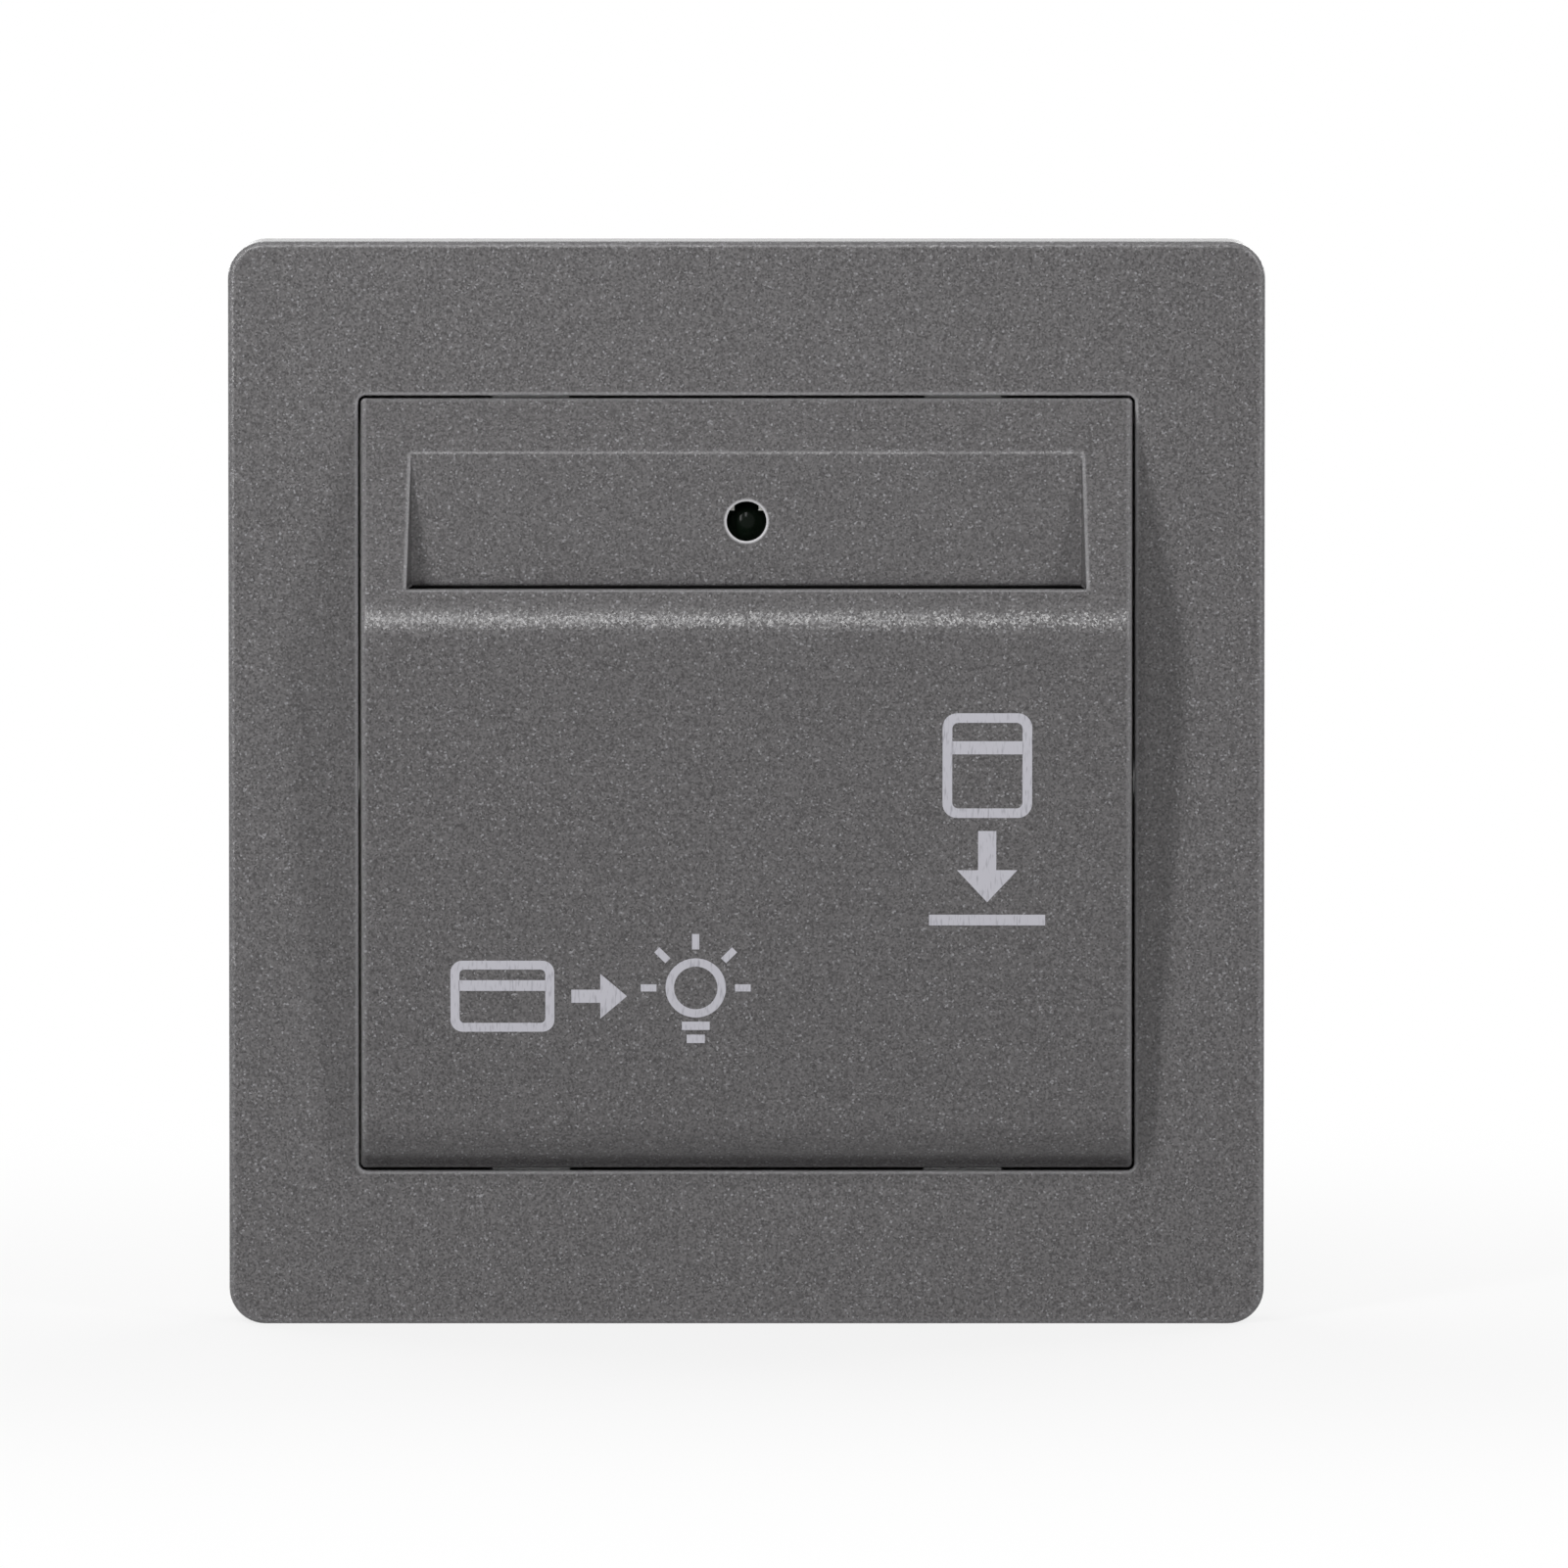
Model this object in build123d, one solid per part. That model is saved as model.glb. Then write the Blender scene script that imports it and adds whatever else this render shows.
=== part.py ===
from build123d import *

import os
from math import cos, radians, tan

# Hotel key card switch for a wall box whose two screws stand 60.3 mm apart.
# Lengths are millimetres. +X is right, +Y goes into the wall and +Z is up.
# A place called out is measured from the wall plane towards the room, so out = -y.
# The origin is on the wall plane, midway between the two wall screws.

# Shared clearances
cut_overrun = 1.0  # how far a cut runs past what it goes through
fit_gap = 0.2  # between parts that are pushed into each other
slide_gap = 0.3  # between bodies that pass each other
turn_gap = 0.04  # round a pin in its bore
screw_gap = 0.05  # round a screw in its pilot hole
screw_hole_gap = 0.2  # round a screw in a through hole
edge_tolerance = 0.05  # how near a corner lies to a plane that its edge counts as being in

# Mounting frame, the moulded strap that the wall screws hold
frame_panel_gap = 1.0  # between its edge and the inside of the panel's rim
frame_thickness = 2.0
frame_corner = 3.0
frame_rib_width = 1.6
frame_rib_height = 1.2
wall_screw_pitch = 60.3
wall_hole_radius = 2.0
wall_screw_head_radius = 4.0
wall_screw_head_height = 2.5

# Decor frame, the panel that shows beside the cover by side_border and above and below by end_border
side_border = 11.0
end_border = 13.0
panel_out = 9.0
panel_wall = 2.0
panel_corner = 3.0
panel_edge = 0.45
panel_wall_gap = 0.4
aperture_edge = 0.25
collar_wall = 1.4
collar_depth = 1.2
peg_radius = 1.5
peg_inset = 6.5
pry_width = 8.0
pry_height = 1.2

# Card cover, the module that stands out of the panel; a drop is measured down from its top edge
cover_wall = 1.6
cover_edge = 0.4
cover_draft = 1.2
cover_rear_gap = 0.6
slope_proud = 0.3
slope_angle = 28.0
crest_drop = 18.1
crest_radius = 5.6
face_tilt = 7.6
foot_radius = 5.0
leg_width = 6.0
leg_thickness = 1.4
leg_spacing = 36.0
leg_end_out = 0.3
cover_hook_width = 4.0
cover_hook_wall = 1.0
cover_hook_reach = 0.8
cover_hook_spacing = 30.0

# Recess above the card slot, and the round window in its floor
recess_side_gap = 0.75  # beside the card
recess_drop = 4.4
recess_draft = 3.0
recess_floor_wall = 1.6
recess_side_wall = 1.4
recess_floor_edge = 0.5
recess_rim_edge = 0.25
slot_drop = 15.5
window_radius = 1.65
window_drop = 10.1
window_wall = 0.6  # what the counterbore behind the window leaves of the floor

# Card pocket behind the cover's front
card_width = 54.0
card_side_gap = 0.5
card_stop_rise = 3.6  # above the cover's lower edge
chute_wall = 1.6
chute_rail_wall = 1.5
chute_side_room = 1.4  # between a rail and the cover's side wall
chute_lid_gap = 0.6
chute_holder_gap = 0.4
chute_screw_spacing = 44.0
chute_screw_drop = 6.8
chute_boss_radius = 2.3
chute_screw_radius = 1.0
chute_screw_head_radius = 1.9
chute_screw_head_height = 0.9
chute_screw_grip = 3.3

# Rear housing, the box behind the wall, as large as what it holds
housing_wall = 1.6
flange_thickness = 1.6
flange_reach = 1.3
flange_corner = 2.0
frame_hook_width = 8.0
frame_hook_spacing = 14.0
frame_hook_reach = 0.9
frame_hook_depth = 1.2
frame_ledge = 1.0
vent_count = 5
vent_pitch = 3.2
vent_width = 1.5
vent_length = 12.0
vent_mid_depth = 18.0

# Inner lid and its screws
lid_cover_gap = 1.1  # above and below the lid inside the cover
lid_thickness = 1.6
lid_boss_radius = 2.2
lid_boss_inset_x = 1.9
lid_boss_inset_z = 1.9
lid_screw_radius = 1.1
lid_screw_head_radius = 2.0
lid_screw_head_height = 0.5
lid_screw_length = 9.0

# Main board
board_depth = 7.3
board_thickness = 1.6
board_edge_gap = 0.5
board_post_radius = 2.2
board_post_inset_x = 2.6
board_post_rise = 3.9  # above the terminal block
board_screw_radius = 1.1
board_screw_head_radius = 2.1
board_screw_head_height = 1.4
board_screw_length = 6.0
board_ledge_width = 2.0
board_ledge_reach = 1.6
board_ledge_drop = 16.4  # below the housing's top wall

# Card lever, its pin and its spring
lever_inset = 7.9  # from the housing's right side wall to the lever's middle
lever_width = 6.0
pivot_out = 2.0
pivot_rise = 20.4  # above the stop that the card rests on
hub_radius = 2.0
pin_radius = 0.8
ear_wall = 1.5
ear_radius = 2.2
plunger_arm = 4.0
bump_radius = 1.4
arm_front = 1.5
arm_back = 1.0
arm_length = 11.2
nose_reach = 8.9
nose_top_drop = 9.0
nose_tip_drop = 16.2
nose_height = 1.2
nose_heel_reach = 5.0
nose_heel_drop = 16.0
nose_root_reach = 4.2
spring_radius = 1.4
spring_wire = 0.2
spring_drop = 9.3
spring_turns = 7
spring_seat_gap = 0.1

# Microswitch and its plunger
switch_width = 5.8
switch_height = 12.8
switch_depth = 6.5
switch_top_rise = 6.6  # above the lever's pivot
plunger_width = 2.6
plunger_height = 1.6
plunger_length = 4.0
plunger_travel = 1.0
plunger_rest_gap = 0.05
plunger_side_gap = 0.05
switch_pin_width = 1.2
switch_pin_thickness = 0.5
switch_pin_tail = 1.6
switch_pin_pitch = 4.4

# Indicator behind the window
led_radius = 2.45
led_flange_radius = 2.8
led_flange_height = 1.0
led_height = 8.6
led_lead_radius = 0.25
led_lead_pitch = 2.54
holder_wall = 0.8
holder_face_wall = 0.7
holder_window_gap = 0.35
holder_foot_radius = 4.2
holder_foot_height = 1.5
holder_bore_gap = 0.05
mask_half_width = 2.0
mask_shoulder = 0.86
mask_tab_width = 2.0

# Terminal block
pole_count = 4
pole_pitch = 7.5
block_height = 10.0
block_bottom_gap = 0.3
block_recess = 0.2
wire_bore_radius = 1.8
wire_bore_length = 6.0
wire_bore_height = 4.9
chamber_width = 5.8
chamber_height = 7.0
chamber_depth = 8.0
clamp_width = 5.2
clamp_height = 6.4
clamp_depth = 6.0
clamp_wall = 0.8
clamp_floor = 1.2
terminal_screw_radius = 1.3
terminal_screw_head_radius = 2.2
terminal_screw_head_height = 1.2
terminal_screw_gap = 0.3
terminal_slot_width = 0.6
terminal_slot_depth = 0.5
driver_hole_radius = 2.5
terminal_pin_width = 1.0
terminal_pin_tail = 1.4

# Parts on the board: width along x, height along z and depth behind the board.
# A drop is the room above the part, a rise the room between it and the terminal block,
# and a gap the room between it and what stands on its left, or on its right for the varistor.
relay_gap = 2.35
relay_drop = 4.9
relay_width = 15.5
relay_height = 19.0
relay_depth = 15.3
relay_rear_gap = 1.2
relay_edge = 0.6
mains_capacitor_gap = 1.6
mains_capacitor_drop = 6.2
mains_capacitor_width = 8.5
mains_capacitor_height = 18.0
mains_capacitor_depth = 14.5
mains_capacitor_edge = 0.4
smoothing_gap = 1.55
smoothing_drop = 5.0
smoothing_radius = 4.0
smoothing_depth = 12.0
smoothing_edge = 0.5
smoothing_varistor_gap = 2.0
varistor_gap = 2.3
varistor_drop = 9.4
varistor_radius = 5.0
varistor_thickness = 4.0
varistor_lead = 1.2
varistor_lead_radius = 0.4
varistor_lead_pitch = 5.0
bridge_gap = 0.55
bridge_drop = 6.2
bridge_width = 8.0
bridge_height = 6.4
bridge_depth = 2.6
fuse_gap = 5.7
fuse_rise = 6.8
fuse_relay_gap = 7.6
fuse_width = 8.4
fuse_height = 4.2
fuse_depth = 7.6
fuse_edge = 0.4
chip_gap = 2.7
chip_rise = 4.7
chip_width = 9.4
chip_height = 6.4
chip_depth = 3.3
chip_notch_radius = 0.8
chip_notch_depth = 0.3
resistor_count = 3
resistor_gap = 2.6
resistor_drop = 1.85
resistor_pitch = 3.4
resistor_radius = 1.15
resistor_length = 6.2
resistor_end_radius = 1.35
resistor_end_length = 1.2

# Housing, worked out from the parts that it holds side by side, one above the other and behind the board
upper_row_width = relay_gap + relay_width + mains_capacitor_gap + mains_capacitor_width
upper_row_width += smoothing_gap + 2 * smoothing_radius + smoothing_varistor_gap
cavity_width = upper_row_width + varistor_thickness + varistor_gap
left_column_height = relay_drop + relay_height + fuse_relay_gap + fuse_height + fuse_rise
cavity_height = left_column_height + block_height + block_bottom_gap
housing_width = cavity_width + 2 * housing_wall
housing_height = cavity_height + 2 * housing_wall
housing_depth = board_depth + board_thickness + relay_depth + relay_rear_gap + housing_wall
housing_inner_out = housing_wall - housing_depth
board_front_out = -board_depth
board_back_out = board_front_out - board_thickness
lever_x = cavity_width / 2 - lever_inset

# Cover, panel and mounting frame, worked out from the card, the lid and each other
cover_width = card_width + 2 * (card_side_gap + chute_rail_wall + chute_side_room + cover_wall)
cover_height = housing_height + 2 * (flange_reach + lid_cover_gap + cover_wall)
panel_width = cover_width + 2 * side_border
panel_height = cover_height + 2 * end_border
frame_width = panel_width - 2 * (panel_wall + frame_panel_gap)
frame_height = panel_height - 2 * (panel_wall + frame_panel_gap)
recess_width = card_width + 2 * recess_side_gap

# Heights on the cover, from its top and bottom edges
crest_z = cover_height / 2 - crest_drop
recess_top_z = cover_height / 2 - recess_drop
slot_z = cover_height / 2 - slot_drop
window_z = cover_height / 2 - window_drop
chute_screw_z = cover_height / 2 - chute_screw_drop
card_stop_z = card_stop_rise - cover_height / 2
pivot_z = card_stop_z + pivot_rise
switch_top_z = pivot_z + switch_top_rise

# Planes from the wall towards the room
flange_out = frame_thickness + flange_thickness
lid_out = flange_out + lid_thickness
chute_rear_out = lid_out + chute_lid_gap
chute_front_out = chute_rear_out + chute_wall
cover_rear_out = frame_thickness + cover_rear_gap
slope_foot_out = panel_out + slope_proud
crest_out = slope_foot_out + crest_drop * tan(radians(slope_angle))
recess_floor_out = slope_foot_out + recess_drop * tan(radians(slope_angle))
recess_back_out = recess_floor_out - recess_floor_wall
room_out = crest_out + cut_overrun

# Middles of the parts on the board, along x and then along z
relay_x = relay_gap + (relay_width - cavity_width) / 2
mains_capacitor_x = relay_x + relay_width / 2 + mains_capacitor_gap + mains_capacitor_width / 2
smoothing_x = mains_capacitor_x + mains_capacitor_width / 2 + smoothing_gap + smoothing_radius
varistor_x = (cavity_width - varistor_thickness) / 2 - varistor_gap
bridge_x = mains_capacitor_x + mains_capacitor_width / 2 + bridge_gap + bridge_width / 2
fuse_x = fuse_gap + (fuse_width - cavity_width) / 2
chip_x = fuse_x + fuse_width / 2 + chip_gap + chip_width / 2
resistor_x = chip_x + chip_width / 2 + resistor_gap + resistor_length / 2
relay_z = (cavity_height - relay_height) / 2 - relay_drop
mains_capacitor_z = (cavity_height - mains_capacitor_height) / 2 - mains_capacitor_drop
smoothing_z = cavity_height / 2 - smoothing_drop - smoothing_radius
varistor_z = cavity_height / 2 - varistor_drop - varistor_radius
bridge_z = smoothing_z - smoothing_radius - bridge_drop - bridge_height / 2
resistor_z = bridge_z - bridge_height / 2 - resistor_drop - resistor_end_radius
block_bottom_z = block_bottom_gap - cavity_height / 2
block_top_z = block_bottom_z + block_height
fuse_z = block_top_z + fuse_rise + fuse_height / 2
chip_z = block_top_z + chip_rise + chip_height / 2
board_post_z = block_top_z + board_post_rise
board_ledge_z = cavity_height / 2 - board_ledge_drop


def square(width, height, low, high, x=0, z=0):
    """A block between the planes out = low and out = high, centred on x and z."""
    return Pos(x, -(low + high) / 2, z) * Box(width, high - low, height)


def facing(low, x=0, z=0):
    """A plane that faces the room at out = low."""
    return Plane((x, -low, z), x_dir=(1, 0, 0), z_dir=(0, -1, 0))


def rounded(width, height, corner, low, high, x=0, z=0):
    """A block as square makes it, with rounded corners seen from the front."""
    return extrude(facing(low, x, z) * RectangleRounded(width, height, corner), high - low)


def span(x0, x1, low, high, z0, z1):
    """A block between two planes each way."""
    return square(x1 - x0, z1 - z0, low, high, (x0 + x1) / 2, (z0 + z1) / 2)


def rod(radius, low, high, x=0, z=0):
    """A round rod square to the wall."""
    return extrude(facing(low, x, z) * Circle(radius), high - low)


def crossbar(radius, x0, x1, out, z):
    """A round rod along x."""
    outline = Plane((x0, -out, z), x_dir=(0, 1, 0), z_dir=(1, 0, 0)) * Circle(radius)
    return extrude(outline, x1 - x0)


def post(radius, z0, z1, x, out):
    """An upright round rod."""
    return extrude(Plane((x, -out, z0)) * Circle(radius), z1 - z0)


def side_prism(points, x0, x1):
    """A prism along x over points given as (out, z)."""
    outline = make_face(Polyline(*[(-out, z) for out, z in points], close=True))
    return extrude(Plane((x0, 0, 0), x_dir=(0, 1, 0), z_dir=(1, 0, 0)) * outline, x1 - x0)


def corners_at(x, z):
    """The four places at plus and minus x and z."""
    return [(sx * x, sz * z) for sx in (-1, 1) for sz in (-1, 1)]


def peg_places():
    """The axes of the decor frame's four pegs."""
    return corners_at(panel_width / 2 - peg_inset, panel_height / 2 - peg_inset)


def leg_places():
    """The middles of the card cover's four legs."""
    return corners_at(leg_spacing / 2, (cover_height - leg_thickness) / 2)


def chute_screw_places():
    """The axes of the two screws between card cover and chute."""
    return [(side * chute_screw_spacing / 2, chute_screw_z) for side in (-1, 1)]


def cover_section(inset, rear_out):
    """The cover seen from the side, every outer line drawn in by inset, open end at rear_out."""
    top_z = cover_height / 2 - inset
    rise = tan(radians(slope_angle))
    fall = tan(radians(face_tilt))
    slope_start = slope_foot_out - inset / cos(radians(slope_angle))
    face_start = crest_out - inset / cos(radians(face_tilt))
    top_out = slope_start + (cover_height / 2 - top_z) * rise
    ridge_z = (slope_start - face_start + cover_height / 2 * rise + crest_z * fall) / (rise + fall)
    ridge_out = face_start - (crest_z - ridge_z) * fall
    foot_out = face_start - (crest_z + top_z) * fall
    foot = (-foot_out, -top_z)
    ridge = (-ridge_out, ridge_z)
    ends = [(-rear_out, -top_z), foot, ridge, (-top_out, top_z), (-rear_out, top_z)]
    face = make_face(Polyline(*ends, close=True))
    for place, radius in ((foot, foot_radius), (ridge, crest_radius)):
        corner = face.vertices().sort_by_distance(Vector(*place))[:1]
        face = fillet(corner, radius - inset)
    return face


def cover_prism(inset, rear_out, half_width):
    """The cover's section run along x to half_width on both sides."""
    profile = Plane((-half_width, 0, 0), x_dir=(0, 1, 0), z_dir=(1, 0, 0)) * cover_section(inset, rear_out)
    return extrude(profile, 2 * half_width)


def make_mounting_frame():
    """White moulded strap on the wall: holes for the wall screws, opening, peg sockets and leg slots."""
    body = rounded(frame_width, frame_height, frame_corner, 0, frame_thickness)
    rib_top = frame_thickness + frame_rib_height
    rib = rounded(frame_width, frame_height, frame_corner, frame_thickness, rib_top)
    rib_inner_width = frame_width - 2 * frame_rib_width
    rib_inner_height = frame_height - 2 * frame_rib_width
    rib -= rounded(rib_inner_width, rib_inner_height, frame_corner - frame_rib_width,
                   frame_thickness - cut_overrun, rib_top + cut_overrun)
    body += rib
    low = -cut_overrun
    high = frame_thickness + cut_overrun
    body -= square(housing_width + 2 * fit_gap, housing_height + 2 * fit_gap, low, high)
    for side in (-1, 1):
        body -= rod(wall_hole_radius, low, high, side * wall_screw_pitch / 2)
    for x, z in peg_places():
        body -= rod(peg_radius + fit_gap, low, high, x, z)
    for x, z in leg_places():
        body -= square(leg_width + 2 * fit_gap, leg_thickness + 2 * fit_gap, low, high, x, z)
    hook_room_width = frame_hook_width + 2 * fit_gap
    hook_room_rise = frame_hook_reach + fit_gap
    for x, z in corners_at(frame_hook_spacing / 2, housing_height / 2):
        body -= square(hook_room_width, 2 * hook_room_rise, low, frame_thickness - frame_ledge, x, z)
    return body


def make_decor_frame():
    """Square panel: shallow tray with an aperture, a collar round it, four pegs and a pry notch."""
    body = rounded(panel_width, panel_height, panel_corner, panel_wall_gap, panel_out)
    body = fillet(body.faces().sort_by(Axis.Y)[0].edges(), panel_edge)
    under = panel_out - panel_wall
    tray_width = panel_width - 2 * panel_wall
    tray_height = panel_height - 2 * panel_wall
    tray_bottom = panel_wall_gap - cut_overrun
    body -= rounded(tray_width, tray_height, panel_corner - panel_wall, tray_bottom, under)
    aperture_width = cover_width + 2 * fit_gap
    aperture_height = cover_height + 2 * fit_gap
    collar_bottom = under - collar_depth
    body += rounded(aperture_width + 2 * collar_wall, aperture_height + 2 * collar_wall,
                    cover_edge + fit_gap + collar_wall, collar_bottom, under)
    opening = rounded(aperture_width, aperture_height, cover_edge + fit_gap,
                      collar_bottom - cut_overrun, panel_out + cut_overrun)
    body -= opening
    front_face = body.faces().sort_by(Axis.Y)[0]
    body = fillet(front_face.inner_wires()[0].edges(), aperture_edge)
    for x, z in peg_places():
        body += rod(peg_radius, leg_end_out, under, x, z)
    pry_top = panel_wall_gap + pry_height
    return body - square(pry_width, 2 * panel_wall + cut_overrun, tray_bottom, pry_top, 0, -panel_height / 2)


def is_cover_edge(edge):
    """True for the edges round the cover's front, top and sides, which are all rounded alike."""
    outs = [-vertex.Y for vertex in edge.vertices()]
    on_rear = max(outs) < cover_rear_out + cut_overrun
    on_draft_line = abs(min(outs) - panel_out) + abs(max(outs) - panel_out) < edge_tolerance
    across = abs(edge.center().X) < cover_wall
    on_top = edge.center().Z > cover_height / 2 - cover_wall
    return not on_rear and not on_draft_line and (on_top or not across)


def make_cover_block():
    """The cover's outer form as one block, its sides drafted in front of the panel."""
    block = cover_prism(0, cover_rear_out, cover_width / 2)
    front = facing(panel_out) * Rectangle(cover_width, 2 * cover_height)
    sides = extrude(front, room_out - panel_out, taper=cover_draft)
    sides += square(cover_width, 2 * cover_height, cover_rear_out - cut_overrun, panel_out)
    block &= sides
    return fillet([edge for edge in block.edges() if is_cover_edge(edge)], cover_edge)


def make_cover_room():
    """The room inside the cover, open to the rear."""
    width = cover_width - 2 * cover_wall
    height = cover_height - 2 * cover_wall
    room = cover_prism(cover_wall, cover_rear_out + cover_wall, width / 2)
    return room + square(width, height, cover_rear_out - cut_overrun, cover_rear_out + 2 * cover_wall)


def add_recess(body, block):
    """The recess: a floor parallel to the wall, side walls out to the slope, open below as the slot."""
    half_width = recess_width / 2 + recess_side_wall
    top_z = recess_top_z + recess_floor_wall
    body += block & span(-half_width, half_width, recess_back_out, room_out, slot_z, top_z)
    hollow_height = recess_top_z + cut_overrun - slot_z
    hollow_z = slot_z + hollow_height / 2
    floor = facing(recess_floor_out, 0, hollow_z) * Rectangle(recess_width, hollow_height)
    hollow = extrude(floor, room_out - recess_floor_out, taper=-recess_draft)
    body -= hollow & span(-cover_width, cover_width, recess_floor_out, room_out, slot_z, cover_height)
    mouth = body.edges().filter_by(Axis.X).sort_by_distance(Vector(0, -recess_floor_out, slot_z))[0]
    body = fillet(mouth, recess_floor_edge)
    return fillet([edge for edge in body.edges() if is_recess_rim(edge)], recess_rim_edge)


def is_recess_rim(edge):
    """True for the edges where the recess and the slot meet the slope."""
    inside = max(abs(vertex.X) for vertex in edge.vertices()) < recess_width / 2 + recess_side_wall
    gaps = [abs(slope_out(vertex.Z) + vertex.Y) for vertex in edge.vertices()]
    return inside and max(gaps) < edge_tolerance


def slope_out(z):
    """How far out the slope above the crest is at a height."""
    return slope_foot_out + (cover_height / 2 - z) * tan(radians(slope_angle))


def make_card_cover():
    """Front module: wedge-shaped shell with the recess, card slot, window, bosses, hooks and legs."""
    block = make_cover_block()
    body = add_recess(block - make_cover_room(), block)
    boss_top = recess_back_out + recess_floor_wall / 2
    for x, z in chute_screw_places():
        body += rod(chute_boss_radius, chute_front_out, boss_top, x, z)
    for x, z in chute_screw_places():
        body -= rod(chute_screw_radius + screw_gap, chute_front_out - cut_overrun,
                    chute_front_out + chute_screw_grip, x, z)
    body -= rod(window_radius, recess_back_out - cut_overrun, recess_floor_out + cut_overrun, 0, window_z)
    counterbore_radius = led_radius + holder_bore_gap + holder_wall + chute_holder_gap
    body -= rod(counterbore_radius, recess_back_out - cut_overrun, recess_floor_out - window_wall, 0, window_z)
    body = cut_screw_head_notches(body)
    return body + cover_legs() + cover_hooks()


def cut_screw_head_notches(body):
    """The side walls leave room for the heads of the wall screws."""
    notch_height = 2 * (wall_screw_head_radius + cover_rear_gap)
    notch_top = frame_thickness + wall_screw_head_height + cover_rear_gap
    notch_width = 2 * (cover_wall + cut_overrun)
    notch_bottom = cover_rear_out - cut_overrun
    for side in (-1, 1):
        body -= square(notch_width, notch_height, notch_bottom, notch_top, side * cover_width / 2)
    return body


def cover_legs():
    """Four legs that push into the mounting frame."""
    root_out = cover_rear_out + cover_wall
    return [square(leg_width, leg_thickness, leg_end_out, root_out, x, z) for x, z in leg_places()]


def cover_hooks():
    """Two hooks on the bottom wall that hold the chute's lower edge."""
    top_z = cover_wall + cover_hook_reach - cover_height / 2
    root_z = cover_wall / 2 - cover_height / 2
    front_out = chute_rear_out - screw_gap
    hooks = []
    for side in (-1, 1):
        x0 = side * cover_hook_spacing / 2 - cover_hook_width / 2
        hooks.append(span(x0, x0 + cover_hook_width, front_out - cover_hook_wall, front_out, root_z, top_z))
    return hooks


def make_card_chute():
    """Black card pocket: back wall, two rails and the stop that the card's edge rests on."""
    inset = cover_wall + slide_gap
    half_width = card_width / 2 + card_side_gap + chute_rail_wall
    pocket_half = card_width / 2 + card_side_gap
    stop_bottom = inset - cover_height / 2
    filling = cover_prism(inset, chute_front_out, half_width)
    filling &= span(-half_width, half_width, chute_front_out, room_out, stop_bottom, slot_z - slide_gap)
    low = chute_rear_out - cut_overrun
    high = chute_front_out + cut_overrun
    filling -= span(-pocket_half, pocket_half, low, room_out, card_stop_z, cover_height)
    body = square(cover_width - 2 * inset, cover_height - 2 * inset, chute_rear_out, chute_front_out)
    body += filling
    body -= rod(led_radius + holder_bore_gap + holder_wall + chute_holder_gap, low, high, 0, window_z)
    nose_half = lever_width / 2 + slide_gap
    nose_bottom_z = card_stop_z + slide_gap
    nose_top_z = pivot_z - nose_top_drop + cut_overrun
    body -= span(lever_x - nose_half, lever_x + nose_half, low, high, nose_bottom_z, nose_top_z)
    head_seat_out = chute_rear_out + chute_screw_head_height
    for x, z in chute_screw_places():
        body -= rod(chute_screw_radius + screw_hole_gap, low, high, x, z)
        body -= rod(chute_screw_head_radius + screw_hole_gap, low, head_seat_out, x, z)
    return body


def make_chute_screws():
    """Two flat-headed screws that hold the chute in the cover."""
    head_seat_out = chute_rear_out + chute_screw_head_height
    tip_out = chute_front_out + chute_screw_grip - screw_gap
    screws = []
    for x, z in chute_screw_places():
        head = rod(chute_screw_head_radius, chute_rear_out, head_seat_out, x, z)
        screws.append(head + rod(chute_screw_radius, chute_rear_out, tip_out, x, z))
    return screws


def lid_boss_places():
    """The axes of the four corner bosses."""
    return corners_at(cavity_width / 2 - lid_boss_inset_x, cavity_height / 2 - lid_boss_inset_z)


def board_post_places():
    """The axes of the two posts that the board is screwed to."""
    x = cavity_width / 2 - board_post_inset_x
    return [(-x, board_post_z), (x, board_post_z)]


def pole_places():
    """The middle of each terminal pole along x."""
    return [(index - (pole_count - 1) / 2) * pole_pitch for index in range(pole_count)]


def wire_z():
    """The height of the wire bores' axes."""
    return block_bottom_z + wire_bore_height


def clamp_out():
    """The plane through the middle of the clamps and their screws."""
    chamber_rear = block_recess + wire_bore_length - housing_depth
    return chamber_rear + chamber_depth / 2


def flange_plate(low, high):
    """A plate with the outline that the housing's flange and the lid share."""
    width = housing_width + 2 * flange_reach
    height = housing_height + 2 * flange_reach
    return rounded(width, height, flange_corner, low, high)


def make_rear_housing():
    """White box behind the wall: flange, corner bosses, board posts, vents and driver holes."""
    body = square(housing_width, housing_height, -housing_depth, flange_out)
    body += flange_plate(frame_thickness, flange_out)
    body -= square(cavity_width, cavity_height, housing_inner_out, flange_out + cut_overrun)
    for x, z in lid_boss_places():
        body += rod(lid_boss_radius, housing_inner_out, flange_out, x, z)
    lid_pilot_end = flange_out - lid_screw_length
    for x, z in lid_boss_places():
        body -= rod(lid_screw_radius + screw_gap, lid_pilot_end, flange_out + cut_overrun, x, z)
    for x, z in board_post_places():
        body += rod(board_post_radius, housing_inner_out, board_back_out, x, z)
    board_pilot_end = board_back_out - board_screw_length
    for x, z in board_post_places():
        body -= rod(board_screw_radius + screw_gap, board_pilot_end, board_back_out + cut_overrun, x, z)
    for side in (-1, 1):
        ledge_x = side * (cavity_width - board_ledge_reach) / 2
        body += square(board_ledge_reach, board_ledge_width, housing_inner_out, board_back_out,
                       ledge_x, board_ledge_z)
    for x, z in corners_at(frame_hook_spacing / 2, housing_height / 2):
        body += frame_hook(x, z)
    return cut_housing_openings(body)


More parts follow.
